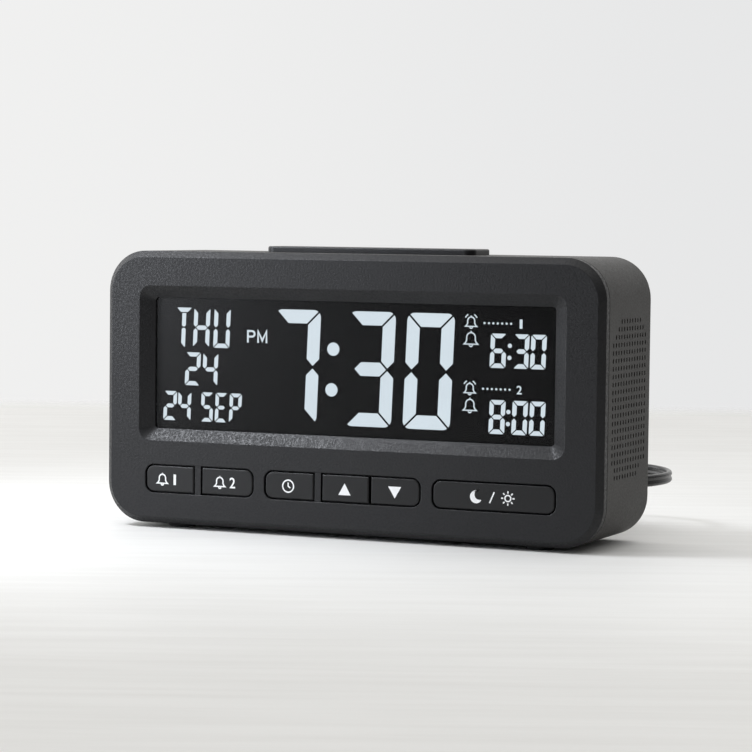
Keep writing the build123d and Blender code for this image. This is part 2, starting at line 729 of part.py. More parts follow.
with BuildPart() as rear_housing:
    case_slab(housing_front_y, back_y, 0)
    fillet(rear_housing.faces().sort_by(Axis.Y)[-1].edges(), radius=back_edge_radius)
    case_slab(housing_front_y, back_wall_y, wall, Mode.SUBTRACT)
    # speaker grille
    with BuildSketch(Plane.YZ.offset(side_wall_x)) as slots:
        with Locations(*slot_points):
            SlotOverall(slot_height, slot_width, rotation=90)
    extrude(slots.sketch, amount=wall, mode=Mode.SUBTRACT)
    with BuildSketch(Plane.YZ.offset(speaker_back_x)) as speaker_bosses:
        with Locations(*speaker_boss_points):
            Circle(speaker_boss_diameter / 2)
    extrude(speaker_bosses.sketch, amount=side_wall_x - speaker_back_x)
    with BuildSketch(Plane.YZ.offset(speaker_back_x)) as speaker_pilots:
        with Locations(*speaker_boss_points):
            Circle(wide_screw[2] / 2 + thread_gap)
    extrude(speaker_pilots.sketch, amount=side_wall_x - speaker_back_x, mode=Mode.SUBTRACT)
    # opening for the snooze bar and the bosses that carry its bracket
    with BuildSketch(Plane.XY.offset(top_wall_z)) as snooze_opening:
        with Locations((0, snooze_y)):
            RectangleRounded(*snooze_hole, snooze_radius + snooze_gap)
    extrude(snooze_opening.sketch, amount=wall, mode=Mode.SUBTRACT)
    with BuildSketch(Plane.XY.offset(bracket_top_z)) as bracket_bosses:
        with Locations(*bracket_boss_points):
            Circle(bracket_boss_diameter / 2)
    extrude(bracket_bosses.sketch, amount=top_wall_z - bracket_top_z)
    with BuildSketch(Plane.XY.offset(bracket_top_z)) as bracket_pilots:
        with Locations(*bracket_boss_points):
            Circle(small_screw[2] / 2 + thread_gap)
    extrude(bracket_pilots.sketch, amount=small_screw_length, mode=Mode.SUBTRACT)
    # case screw columns, open to the back
    posts(case_screw_points, case_boss_diameter, case_boss_end_y + seat_gap, back_wall_y)
    posts(case_screw_points, case_head_hole, case_screw_seat_y, back_y, Mode.SUBTRACT)
    posts(case_screw_points, case_screw[2] + 2 * screw_hole_gap, case_boss_end_y, case_screw_seat_y,
          Mode.SUBTRACT)
    # battery bay: four walls and a floor behind the door opening, with a ledge for the door
    bay_outer = (bay_length + 2 * bay_wall, bay_height + 2 * bay_wall)
    ledge_size = (door_hole_length + 2 * bay_wall, door_hole_height + 2 * bay_wall)
    slab(bay_floor_y - bay_wall, back_wall_y, bay_outer, 0.0, (bay_x, bay_z))
    slab(ledge_back_y, back_wall_y, ledge_size, 0.0, (bay_x, bay_z))
    slab(bay_floor_y, back_y, (bay_length, bay_height), 0.0, (bay_x, bay_z), Mode.SUBTRACT)
    slab(back_wall_y, back_y, (door_hole_length, door_hole_height), door_corner + door_gap, (bay_x, bay_z),
         Mode.SUBTRACT)
    for notch_x, notch_z in tab_points:
        block((notch_x - tab_width / 2 - door_gap, notch_x + tab_width / 2 + door_gap),
              (ledge_back_y - 2 * door_gap, back_wall_y),
              (notch_z - tab_reach - 2 * door_gap, bay_z - bay_height / 2), Mode.SUBTRACT)
    for row_z, _ in cell_rows:
        block((contact_tail_x - contact_thickness - fit_gap, contact_tail_x),
              (bay_floor_y - bay_wall, bay_floor_y),
              (row_z - tail_width / 2 - fit_gap, row_z + tail_width / 2 + fit_gap), Mode.SUBTRACT)
    # lead exit, and recesses for the feet
    posts([exit_point], relief_groove_diameter + 2 * relief_hole_gap, back_wall_y, back_y, Mode.SUBTRACT)
    with BuildSketch(Plane.XY.offset(foot_lift)) as foot_recesses:
        with GridLocations(2 * foot_x, 2 * foot_y, 2, 2):
            Circle(foot_diameter / 2 + fit_gap)
    extrude(foot_recesses.sketch, amount=foot_thickness - foot_lift, mode=Mode.SUBTRACT)
save(rear_housing, "rear_housing")

with BuildPart() as case_screws:
    screws(from_behind(case_screw_points), backwards(case_screw_seat_y), case_screw,
           case_screw_seat_y - case_boss_end_y + case_screw_reach)
save(case_screws, "case_screws")

with BuildPart() as rubber_feet:
    with GridLocations(2 * foot_x, 2 * foot_y, 2, 2):
        Cylinder(foot_diameter / 2, foot_thickness, align=(Align.CENTER, Align.CENTER, Align.MIN))
    chamfer(rubber_feet.edges().group_by(Axis.Z)[0], length=foot_chamfer)
save(rubber_feet, "rubber_feet")

# ------------------------------------------------------------------ snooze bar
with BuildPart() as snooze_bar:
    with BuildSketch(Plane.XY.offset(flange_top_z)) as bar_outline:
        with Locations((0, snooze_y)):
            RectangleRounded(snooze_length, snooze_width, snooze_radius)
    extrude(bar_outline.sketch, amount=top_z + snooze_proud - flange_top_z)
    fillet(snooze_bar.faces().sort_by(Axis.Z)[-1].edges(), radius=snooze_edge)
    with BuildSketch(Plane.XY.offset(flange_low_z)) as flange_outline:
        with Locations((0, snooze_y)):
            RectangleRounded(snooze_length + 2 * snooze_flange, snooze_width + 2 * snooze_flange,
                             snooze_radius)
    extrude(flange_outline.sketch, amount=snooze_flange_thickness)
    post_low_z = bracket_low_z + snooze_travel - fit_gap
    with BuildSketch(Plane.XY.offset(post_low_z)) as guide_posts:
        with Locations(*[(side * guide_post_x, snooze_y) for side in (-1, 1)]):
            Circle(guide_post_diameter / 2)
    extrude(guide_posts.sketch, amount=flange_low_z - post_low_z)
save(snooze_bar, "snooze_bar")

with BuildPart() as snooze_bracket:
    with BuildSketch(Plane.XY.offset(bracket_low_z)) as bracket_outline:
        with Locations((0, snooze_y)):
            RectangleRounded(bracket_length, bracket_width, snooze_radius)
        with Locations(*[(side * guide_post_x, snooze_y) for side in (-1, 1)]):
            Circle(guide_post_diameter / 2 + run_gap, mode=Mode.SUBTRACT)
        with Locations(*bracket_boss_points):
            Circle(ear_hole / 2, mode=Mode.SUBTRACT)
    extrude(bracket_outline.sketch, amount=bracket_thickness)
save(snooze_bracket, "snooze_bracket")

# the same small screw holds the display frame, both boards and the snooze bracket
under_bracket = Plane(origin=(0, 0, bracket_low_z), x_dir=(1, 0, 0), z_dir=(0, 0, -1))
with BuildPart() as small_screws:
    for points, seat_y in ((ear_points, frame_back_y), (standoff_points, main_board_back_y),
                           (key_boss_points, key_board_back_y)):
        screws(from_behind(points), backwards(seat_y), small_screw, small_screw_length)
    screws([(x, -y) for x, y in bracket_boss_points], under_bracket, small_screw, small_screw_length)
save(small_screws, "small_screws")

with BuildPart() as snooze_board:
    with Locations((0, snooze_y, bracket_top_z + snooze_board_thickness / 2)):
        Box(snooze_board_length, snooze_board_width, snooze_board_thickness)
save(snooze_board, "snooze_board")

snooze_plunger_low_z = snooze_board_z + snooze_travel + 2 * fit_gap
with BuildPart() as snooze_switch:
    with Locations((0, snooze_y, snooze_board_z + snooze_switch_height / 2)):
        Box(switch_size, switch_size, snooze_switch_height)
    with BuildSketch(Plane.XY.offset(snooze_board_z + fit_gap)) as snooze_well:
        with Locations((0, snooze_y)):
            Circle(plunger_diameter / 2 + run_gap)
    extrude(snooze_well.sketch, amount=snooze_switch_height, mode=Mode.SUBTRACT)
save(snooze_switch, "snooze_switch")

with BuildPart() as snooze_plunger:
    with BuildSketch(Plane.XY.offset(snooze_plunger_low_z)) as plunger_round:
        with Locations((0, snooze_y)):
            Circle(plunger_diameter / 2)
    extrude(plunger_round.sketch, amount=flange_low_z - snooze_plunger_low_z)
save(snooze_plunger, "snooze_plunger")

spring_rise = flange_low_z - bracket_top_z - spring_wire - 2 * fit_gap
with BuildPart() as snooze_springs:
    for side in (-1, 1):
        start = (side * guide_post_x, snooze_y, bracket_top_z + spring_wire / 2 + fit_gap)
        spring(start, (0, 0, 1), (snooze_spring_diameter - spring_wire) / 2, spring_rise, snooze_spring_turns)
save(snooze_springs, "snooze_springs")

# ------------------------------------------------------------------ speaker
with BuildPart() as grille_mesh:
    mesh_size = ((grille_columns - 1) * grille_pitch_y + slot_width + 2 * mesh_margin,
                 (grille_rows - 1) * grille_pitch_z + slot_height + 2 * mesh_margin)
    with BuildSketch(Plane.YZ.offset(mesh_x)) as mesh_outline:
        with Locations((grille_y, grille_z)):
            Rectangle(*mesh_size)
        with Locations(*speaker_boss_points):
            Circle(speaker_boss_diameter / 2 + fit_gap, mode=Mode.SUBTRACT)
    extrude(mesh_outline.sketch, amount=mesh_thickness)
save(grille_mesh, "grille_mesh")


def turned(points):
    # a closed outline of (radius, distance behind the speaker's face), turned about its axis
    axis_plane = Plane(origin=(mesh_x, grille_y, grille_z), x_dir=(0, 0, 1), z_dir=(0, 1, 0))
    with BuildSketch(axis_plane) as half:
        with BuildLine():
            Polyline(*[(radius, -depth) for radius, depth in points], close=True)
        make_face()
    revolve(half.sketch, axis=Axis((mesh_x, grille_y, grille_z), (1, 0, 0)))


basket_back = speaker_rim + basket_depth
magnet_radius = magnet_diameter / 2
cone_radius = cone_diameter / 2
with BuildPart() as speaker_basket:
    turned([
        (cone_radius + fit_gap, 0), (speaker_diameter / 2, 0), (speaker_diameter / 2, speaker_rim),
        (cone_radius + fit_gap + basket_wall, speaker_rim), (magnet_radius + basket_wall, basket_back),
        (cap_diameter / 2 + fit_gap, basket_back), (cap_diameter / 2 + fit_gap, basket_back - basket_wall),
        (magnet_radius, basket_back - basket_wall), (cone_radius + fit_gap, speaker_rim),
    ])
    # the strip that the wires are soldered to stands on the back of the rim
    block((terminal_x, speaker_back_x), (grille_y - terminal_width / 2, grille_y + terminal_width / 2),
          (terminal_z - terminal_thickness / 2, terminal_z + terminal_thickness / 2))
save(speaker_basket, "speaker_basket")

with BuildPart() as speaker_magnet:
    turned([(0, basket_back), (magnet_radius, basket_back), (magnet_radius, basket_back + magnet_length),
            (0, basket_back + magnet_length)])
save(speaker_magnet, "speaker_magnet")

cone_face = fit_gap
cone_floor = basket_depth - basket_wall
with BuildPart() as speaker_cone:
    turned([
        (0, cone_floor - cone_thickness), (cap_diameter / 2, cone_floor - cone_thickness),
        (cone_radius, cone_face), (cone_radius, cone_face + cone_thickness),
        (cap_diameter / 2 + cone_thickness / 4, cone_floor), (0, cone_floor),
    ])
save(speaker_cone, "speaker_cone")

with BuildPart() as speaker_coil:
    turned([(0, cone_floor), (cap_diameter / 2, cone_floor), (cap_diameter / 2, basket_back),
            (0, basket_back)])
save(speaker_coil, "speaker_coil")

with BuildPart() as speaker_screws:
    screws([(-y, z) for y, z in speaker_boss_points],
           Plane(origin=(speaker_back_x, 0, 0), x_dir=(0, -1, 0), z_dir=(-1, 0, 0)), wide_screw,
           speaker_rim + mesh_thickness - fit_gap)
save(speaker_screws, "speaker_screws")

# ------------------------------------------------------------------ backup cells and their door
with BuildPart() as backup_cells:
    for cell_z, side in cell_rows:
        plus_x = bay_x + side * (bay_length / 2 - contact_thickness - fit_gap)
        body_x = plus_x - side * cell_nub_length
        with Locations(Plane(origin=(body_x, cell_y, cell_z), z_dir=(-side, 0, 0))):
            Cylinder(cell_diameter / 2, cell_length, align=(Align.CENTER, Align.CENTER, Align.MIN))
        with Locations(Plane(origin=(plus_x, cell_y, cell_z), z_dir=(-side, 0, 0))):
            Cylinder(cell_nub_diameter / 2, cell_nub_length, align=(Align.CENTER, Align.CENTER, Align.MIN))
save(backup_cells, "backup_cells")

with BuildPart() as battery_contacts:
    for cell_z, side in cell_rows:
        for end in (-1, 1):
            wall_x = bay_x + end * bay_length / 2
            inner_x = wall_x - end * contact_thickness
            block((min(wall_x, inner_x), max(wall_x, inner_x)), (bay_floor_y, bay_floor_y + contact_width),
                  (cell_z - contact_width / 2, cell_z + contact_width / 2))
        block((contact_tail_x - contact_thickness, contact_tail_x), (bay_floor_y - tail_length, bay_floor_y),
              (cell_z - tail_width / 2, cell_z + tail_width / 2))
save(battery_contacts, "battery_contacts")

with BuildPart() as cell_springs:
    for cell_z, side in cell_rows:
        start_x = bay_x - side * (bay_length / 2 - contact_thickness - spring_wire / 2 - seat_gap)
        spring((start_x, cell_y, cell_z), (side, 0, 0), cell_spring_diameter / 2,
               cell_spring_room - spring_wire, cell_spring_turns)
save(cell_springs, "cell_springs")

with BuildPart() as battery_door:
    door_front_y = back_y - door_thickness
    slab(door_front_y, back_y, (door_length, door_height), door_corner, (bay_x, bay_z))
    slab(back_y - grip_depth, back_y, (grip_width, grip_height), grip_radius,
         (bay_x, bay_z + door_height / 2 - grip_height), Mode.SUBTRACT)
    for tab_at_x, tab_at_z in tab_points:
        block((tab_at_x - tab_width / 2, tab_at_x + tab_width / 2),
              (back_wall_y - tab_drop - tab_thickness, door_front_y), (tab_at_z, tab_at_z + tab_root))
        block((tab_at_x - tab_width / 2, tab_at_x + tab_width / 2),
              (back_wall_y - tab_drop - tab_thickness, back_wall_y - tab_drop),
              (tab_at_z - tab_reach, tab_at_z))
save(battery_door, "battery_door")

# ------------------------------------------------------------------ lead, strain relief and plug
relief_end_y = back_y + relief_tail
with BuildPart() as strain_relief:
    posts([exit_point], relief_flange_diameter, back_wall_y - relief_flange, back_wall_y)
    posts([exit_point], relief_groove_diameter, back_wall_y, back_y)
    posts([exit_point], relief_flange_diameter, back_y, back_y + relief_flange)
    with BuildSketch(facing(back_y + relief_flange)) as tail_root:
        with Locations(exit_point):
            Circle(relief_root_diameter / 2)
    with BuildSketch(facing(relief_end_y)) as tail_tip:
        with Locations(exit_point):
            Circle(relief_tip_diameter / 2)
    loft([tail_root.sketch.face(), tail_tip.sketch.face()])
save(strain_relief, "strain_relief")


def corner_radii(points):
    # an arc for each corner that takes 0.45 of the shorter of its two runs
    radii = []
    for before, corner, after in zip(points, points[1:], points[2:]):
        run_in = Vector(*corner) - Vector(*before)
        run_out = Vector(*after) - Vector(*corner)
        turn = run_in.get_angle(run_out)
        radii.append(0.45 * min(run_in.length, run_out.length) / tan(radians(turn) / 2))
    return radii


def tubes(routes, diameter, name):
    # round leads along straight runs joined by tangent arcs, one solid for each route
    section = pi * diameter**2 / 4
    with BuildPart() as leads:
        for points in routes:
            radii = corner_radii(points)
            with BuildLine() as route:
                FilletPolyline(*points, radius=radii)
            start_plane = Plane(origin=points[0], z_dir=Vector(*points[1]) - Vector(*points[0]))
            with BuildSketch(start_plane) as round_wire:
                Circle(diameter / 2)
            volume_before = leads.part.volume if leads.part else 0
            sweep(round_wire.sketch, path=route.wires()[0])
            length = sum(edge.length for edge in route.edges())
            share = (leads.part.volume - volume_before) / (section * length)
            print(name, "length", round(length, 1), "volume ratio", round(share, 4),
                  "radii", [round(radius, 1) for radius in radii])
    save(leads, name)


# the lead runs back, swings right in one loose turn and drops on to the coil's top turn
loose_turn = [
    (exit_x, relief_end_y, exit_z),
    (exit_x, 55.5, exit_z),
    (12.0, 67.5, 16.9),
    (21.5, 77.0, 17.1),
    (35.5, 81.5, 17.3),
    (51.0, 82.0, 17.4),
    (66.5, 78.5, 17.3),
    (76.9, 69.0, 17.0),
    (79.9, 57.5, 16.7),
    (76.3, 44.5, 16.5),
    (66.5, 35.0, 16.3),
    (53.5, 30.0, 16.1),
    (39.5, 28.4, 15.7),
    (27.2, 31.8, 15.0),
    (20.9, 40.3, 14.2),
    (19.8, 49.6, 12.2),
]
tubes([loose_turn], cord_diameter, "power_lead")

with BuildPart() as lead_coil:
    with BuildSketch(Plane.XY.offset(coil_low_z)) as ring:
        with Locations((coil_x, coil_y)):
            Circle(coil_mid_radius + coil_band / 2)
            Circle(coil_mid_radius - coil_band / 2, mode=Mode.SUBTRACT)
    extrude(ring.sketch, amount=coil_height)
save(lead_coil, "lead_coil")

# a band round the coil's far side keeps the turns together
coil_outer = coil_mid_radius + coil_band / 2
coil_inner = coil_mid_radius - coil_band / 2
band_inner_y = coil_y + sqrt(coil_inner**2 - (tie_width / 2) ** 2) - seat_gap / 2
band_outer_y = coil_y + coil_outer + seat_gap / 2
tie_span = (coil_x - tie_width / 2, coil_x + tie_width / 2)
with BuildPart() as coil_tie:
    block(tie_span, (band_inner_y - tie_thickness, band_outer_y + tie_thickness),
          (coil_low_z - tie_thickness, coil_low_z + coil_height + tie_thickness))
    block(tie_span, (band_inner_y, band_outer_y), (coil_low_z, coil_low_z + coil_height), Mode.SUBTRACT)
save(coil_tie, "coil_tie")

# the far end leaves the bottom turn and runs to the plug
plug_z = plug_grip_height / 2
plug_entry_x = plug_x + plug_grip_length / 2
tail_run = [
    (coil_x, 27.4, 2.45),
    (25.0, 27.2, 2.3),
    (11.5, 29.5, 2.1),
    (-1.5, 34.5, 2.1),
    (-12.0, 39.5, 2.6),
    (-24.0, plug_y, plug_z),
    (plug_entry_x, plug_y, plug_z),
]
tubes([tail_run], cord_diameter, "lead_tail")

plug_body_low_x = plug_x - plug_grip_length / 2
plug_body_high_x = plug_entry_x - plug_neck_length
with BuildPart() as plug_grip:
    block((plug_body_low_x, plug_body_high_x), (plug_y - plug_grip_width / 2, plug_y + plug_grip_width / 2),
          (0, plug_grip_height))
    fillet(plug_grip.edges().filter_by(Axis.X), radius=plug_edge_radius)
    with BuildSketch(Plane.YZ.offset(plug_body_high_x)) as neck_root:
        with Locations((plug_y, plug_z)):
            RectangleRounded(plug_neck_width, plug_neck_height, plug_edge_radius)
    with BuildSketch(Plane.YZ.offset(plug_entry_x)) as neck_tip:
        with Locations((plug_y, plug_z)):
            RectangleRounded(relief_tip_diameter, relief_tip_diameter, plug_edge_radius)
    loft([neck_root.sketch.face(), neck_tip.sketch.face()])
save(plug_grip, "plug_grip")

shell_tip_x = plug_body_low_x - plug_shell_length
shell_half_width = plug_shell_width / 2
shell_half_height = plug_shell_height / 2
with BuildPart() as plug_shell:
    block((shell_tip_x, plug_body_low_x), (plug_y - shell_half_width, plug_y + shell_half_width),
          (plug_z - shell_half_height, plug_z + shell_half_height))
    block((shell_tip_x, plug_body_low_x),
          (plug_y - shell_half_width + plug_shell_wall, plug_y + shell_half_width - plug_shell_wall),
          (plug_z - shell_half_height + plug_shell_wall, plug_z + shell_half_height - plug_shell_wall),
          Mode.SUBTRACT)
    with BuildSketch(Plane.XY.offset(plug_z)) as shell_windows:
        with Locations(*[(plug_body_low_x - plug_window_reach, plug_y + side * plug_shell_width / 4)
                         for side in (-1, 1)]):
            Rectangle(plug_window_size, plug_window_size)
    extrude(shell_windows.sketch, amount=plug_shell_height, both=True, mode=Mode.SUBTRACT)
save(plug_shell, "plug_shell")

with BuildPart() as plug_tongue:
    tongue_half = shell_half_width - plug_shell_wall - seat_gap
    tongue_low_z = plug_z - shell_half_height + plug_shell_wall
    block((shell_tip_x + plug_tongue_setback, plug_body_low_x), (plug_y - tongue_half, plug_y + tongue_half),
          (tongue_low_z, tongue_low_z + plug_tongue_height))
save(plug_tongue, "plug_tongue")

# ------------------------------------------------------------------ leads inside the case
lead_offsets = (-0.8, 0.8)
power_x, power_z = socket_points["power"]
tubes([
    [
        (power_x + offset, socket_back_y, power_z),
        (power_x + offset, 5.5, power_z),
        (power_x + offset, 9.0, (power_z + exit_z) / 2 + 0.5),
        (power_x + offset, 11.0, exit_z),
        (power_x + offset, back_wall_y - relief_flange, exit_z),
    ]
    for offset in lead_offsets
], lead_diameter, "power_wires")

speaker_x, speaker_z = socket_points["speaker"]
tubes([
    [
        (speaker_x + offset, socket_back_y, speaker_z),
        (speaker_x + offset, 7.5, speaker_z),
        (speaker_x + 4 + offset, 9.0 + offset, speaker_z + 9),
        (speaker_x + 12, grille_y + 1.5 * offset, terminal_z),
        (terminal_x, grille_y + 1.5 * offset, terminal_z),
    ]
    for offset in lead_offsets
], lead_diameter, "speaker_wires")

battery_x, battery_z = socket_points["battery"]
tubes([
    [
        (battery_x + side * lead_offsets[1], socket_back_y, battery_z),
        (battery_x + side * lead_offsets[1], 7.0 + side * lead_offsets[1], battery_z),
        (0.5, 7.6, battery_z + side * 2),
        (-3.5, contact_tail_y, cell_z),
        (contact_tail_x, contact_tail_y, cell_z),
    ]
    for cell_z, side in cell_rows
], lead_diameter, "battery_wires")
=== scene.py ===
import json
import math

import bpy
from mathutils import Matrix, Vector


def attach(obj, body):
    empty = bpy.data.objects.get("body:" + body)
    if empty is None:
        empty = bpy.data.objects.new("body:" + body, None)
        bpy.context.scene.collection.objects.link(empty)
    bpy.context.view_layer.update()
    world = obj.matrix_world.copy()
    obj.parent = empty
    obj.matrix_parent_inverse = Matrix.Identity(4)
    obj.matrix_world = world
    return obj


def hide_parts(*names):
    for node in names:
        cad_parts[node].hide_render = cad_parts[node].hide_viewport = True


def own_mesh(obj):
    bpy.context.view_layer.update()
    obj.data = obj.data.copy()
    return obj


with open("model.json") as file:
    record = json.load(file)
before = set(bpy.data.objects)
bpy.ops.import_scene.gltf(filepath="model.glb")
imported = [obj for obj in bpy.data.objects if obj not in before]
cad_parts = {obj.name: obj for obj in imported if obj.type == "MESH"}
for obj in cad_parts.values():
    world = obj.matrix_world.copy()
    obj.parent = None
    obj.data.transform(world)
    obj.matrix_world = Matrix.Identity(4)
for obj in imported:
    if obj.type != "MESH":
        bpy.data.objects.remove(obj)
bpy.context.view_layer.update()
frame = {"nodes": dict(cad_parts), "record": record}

mm = 0.001
print("frame loaded:", len(frame["nodes"]), "nodes")


# camera
cameraSetup = {
    "place": (0.3514, -0.7823, 0.0998),
    "azimuth": 24.19,  # degrees round from the front
    "down": 3.09,
    "roll": 0.6475,
    "lens": 129.164,
    "sensor": 36.0,
    "shift": (0.002916, -0.01393),
    "clip": (0.05, 60.0),
}


def makeCamera(setup):
    data = bpy.data.cameras.new("camera")
    data.lens, data.sensor_width = setup["lens"], setup["sensor"]
    data.shift_x, data.shift_y = setup["shift"]
    data.clip_start, data.clip_end = setup["clip"]
    camera = bpy.data.objects.new("camera", data)
    bpy.context.scene.collection.objects.link(camera)
    turns = ((setup["azimuth"], "Z"), (90 - setup["down"], "X"), (setup["roll"], "Z"))
    place = Matrix.Translation(setup["place"])
    for angle, axis in turns:
        place = place @ Matrix.Rotation(math.radians(angle), 4, axis)
    camera.matrix_world = place
    bpy.context.scene.camera = camera


makeCamera(cameraSetup)


# mesh helpers, all in metres in the clock's own frame
def newPiece(name, points, faces, sharp=35):
    mesh = bpy.data.meshes.new(name)
    mesh.from_pydata([tuple(point) for point in points], [], faces)
    mesh.validate()
    mesh.update()
    mesh.shade_smooth()
    mesh.set_sharp_from_angle(angle=math.radians(sharp))
    piece = bpy.data.objects.new(name, mesh)
    bpy.context.scene.collection.objects.link(piece)
    return piece


def joinRings(rings):
    count = len(rings[0])
    points = [point for ring in rings for point in ring]
    faces = []
    for step in range(len(rings) - 1):
        low, high = step * count, (step + 1) * count
        for side in range(count):
            after = (side + 1) % count
            faces.append((low + side, low + after, high + after, high + side))
    last = (len(rings) - 1) * count
    faces.append(tuple(range(count - 1, -1, -1)))
    faces.append(tuple(range(last, last + count)))
    return points, faces


def arc(middle, radius, start, end, steps):
    # points round a middle, angles in degrees
    return [
        (
            middle[0] + radius * math.cos(math.radians(start + (end - start) * step / steps)),
            middle[1] + radius * math.sin(math.radians(start + (end - start) * step / steps)),
        )
        for step in range(steps + 1)
    ]


def ring(middle, radius, steps=24):
    return arc(middle, radius, 0, 360 - 360 / steps, steps - 1)


def roundedBox(width, height, radius, steps=5):
    points = []
    for turn, (sideX, sideY) in enumerate(((1, 1), (-1, 1), (-1, -1), (1, -1))):
        middle = (sideX * (width / 2 - radius), sideY * (height / 2 - radius))
        points += arc(middle, radius, 90 * turn, 90 * turn + 90, steps)
    return points


# power lead: one loose turn beside the clock, a tied coil behind it, and a tail to the plug
leadRoute = {
    "width": 3.8,
    "thickness": 1.9,
    "lobe": 0.96,  # radius of each conductor's sleeve
    "waist": 52,  # degrees at which the lobes meet
    "lobeSteps": 9,
    "looseTurn": (
        (8.0, 46.0, 16.6), (8.0, 55.5, 16.6), (12.0, 67.5, 16.9), (21.5, 77.0, 17.1),
        (35.5, 81.5, 17.3), (51.0, 82.0, 17.4), (66.5, 78.5, 17.3), (76.9, 69.0, 17.0),
        (79.9, 57.5, 16.7), (76.3, 44.5, 16.5), (66.5, 35.0, 16.3), (53.5, 30.0, 16.1),
        (39.5, 28.4, 15.7), (27.2, 31.8, 15.0), (20.9, 40.3, 14.3), (19.7, 49.6, 12.5),
    ),
    "coilMiddle": (38.0, 50.0),
    "coilRadii": (18.6, 24.0),  # of the control points, which the line cuts inside
    "coilLayers": (10.25, 6.35, 2.45),
    "coilTurns": 7.75,
    "coilShift": 0.28,  # turns that a change of layer takes
    "coilSteps": 16,  # points to a turn
    "settle": (1.2, 0.6),  # how much higher the coil starts, and how much of that each point loses
    "tail": (
        (25.0, 27.2, 2.3), (11.5, 29.5, 2.1), (-1.5, 34.5, 2.1), (-12.0, 39.5, 2.6),
        (-24.0, 42.0, 3.8), (-36.0, 42.0, 3.8),
    ),
    "exit": (8.0, 46.0, 16.6),
}


def coilPoints(route):
    inner, outer = route["coilRadii"]
    layers = route["coilLayers"]
    rise, loss = route["settle"]
    middle = route["coilMiddle"]
    perLayer = route["coilTurns"] / len(layers)
    winding = perLayer - route["coilShift"]
    count = round(route["coilTurns"] * route["coilSteps"])
    points = []
    for step in range(1, count + 1):
        turn = step / route["coilSteps"]
        layer = min(int(turn / perLayer), len(layers) - 1)
        inLayer = turn - layer * perLayer
        share = min(inLayer / winding, 1)
        radius = inner + (outer - inner) * (share if layer % 2 == 0 else 1 - share)
        drop = max(0, inLayer - winding) / route["coilShift"]
        drop = drop * drop * (3 - 2 * drop)
        below = layers[min(layer + 1, len(layers) - 1)]
        height = layers[layer] + (below - layers[layer]) * drop
        height += max(0, rise - loss * step)
        angle = math.pi - 2 * math.pi * turn
        points.append((middle[0] + radius * math.cos(angle), middle[1] + radius * math.sin(angle), height))
    return points


def smoothRoute(points, resolution=4):
    curve = bpy.data.curves.new("route", "CURVE")
    curve.dimensions = "3D"
    spline = curve.splines.new("NURBS")
    spline.points.add(len(points) - 1)
    for point, place in zip(spline.points, points):
        point.co = (*[value * mm for value in place], 1)
    spline.order_u = 3
    spline.use_endpoint_u = True
    spline.resolution_u = resolution
    holder = bpy.data.objects.new("route", curve)
    mesh = bpy.data.meshes.new_from_object(holder)
    path = [vertex.co.copy() for vertex in mesh.vertices]
    bpy.data.objects.remove(holder)
    bpy.data.meshes.remove(mesh)
    bpy.data.curves.remove(curve)
    return path


def sweep(name, path, section):
    # the section's x lies beside the path and its y stands up
    rings = []
    for step, point in enumerate(path):
        before, after = path[max(step - 1, 0)], path[min(step + 1, len(path) - 1)]
        along = (after - before).normalized()
        side = along.cross(Vector((0, 0, 1))).normalized()
        up = side.cross(along)
        rings.append([point + side * x + up * z for x, z in section])
    points, faces = joinRings(rings)
    return newPiece(name, points, faces, 60)


def twinSection(route):
    offset = route["width"] / 2 - route["lobe"]
    upper = arc((0, offset), route["lobe"], -route["waist"], 180 + route["waist"], route["lobeSteps"])
    lower = [(-x, -z) for x, z in upper]
    return [(x * mm, z * mm) for x, z in upper + lower]


leadPath = smoothRoute([*leadRoute["looseTurn"], *coilPoints(leadRoute), *leadRoute["tail"]])
powerLead = sweep("flat_lead", leadPath, twinSection(leadRoute))


# lead's boot: a flange either side of the back wall, then a ribbed taper; profiles are (depth, radius)
bootShape = {
    "axis": (8.0, 16.6),
    "inside": ((18.4, 0.01), (18.4, 5.3), (18.6, 5.5), (19.8, 5.5), (19.8, 3.5), (22.0, 3.5)),
    "flange": ((22.0, 5.2), (22.2, 5.5), (23.1, 5.5), (23.4, 5.2)),
    "taper": (24.0, 45.0),
    "radii": (4.0, 2.62),
    "ribs": 8,
    "ribProfile": ((0.0, 1), (0.34, 1), (0.42, 0.85), (0.5, 0), (0.86, 0), (0.94, 0.85)),  # along, height
    "groove": 0.62,
    "tip": ((0.0, 2.62), (0.7, 2.52), (1.0, 2.22), (1.0, 0.01)),  # from the taper's end
    "sides": 32,
}


def turnedPiece(name, profile, axis, sides):
    # a profile of (depth, radius) turned about a line along Y
    rings = []
    for depth, radius in profile:
        rings.append([
            Vector(((axis[0] + x) * mm, depth * mm, (axis[1] + z) * mm))
            for x, z in ring((0, 0), radius, sides)
        ])
    points, faces = joinRings(rings)
    return newPiece(name, points, faces)


def makeBoot(shape):
    profile = [*shape["inside"], *shape["flange"]]
    start, end = shape["taper"]
    wide, narrow = shape["radii"]
    pitch = (end - start) / shape["ribs"]
    for rib in range(shape["ribs"]):
        for share, height in shape["ribProfile"]:
            depth = start + (rib + share) * pitch
            radius = wide + (narrow - wide) * (depth - start) / (end - start)
            profile.append((depth, radius - shape["groove"] * (1 - height)))
    profile += [(end + beyond, radius) for beyond, radius in shape["tip"]]
    return turnedPiece("lead_boot", profile, shape["axis"], shape["sides"])


leadBoot = makeBoot(bootShape)


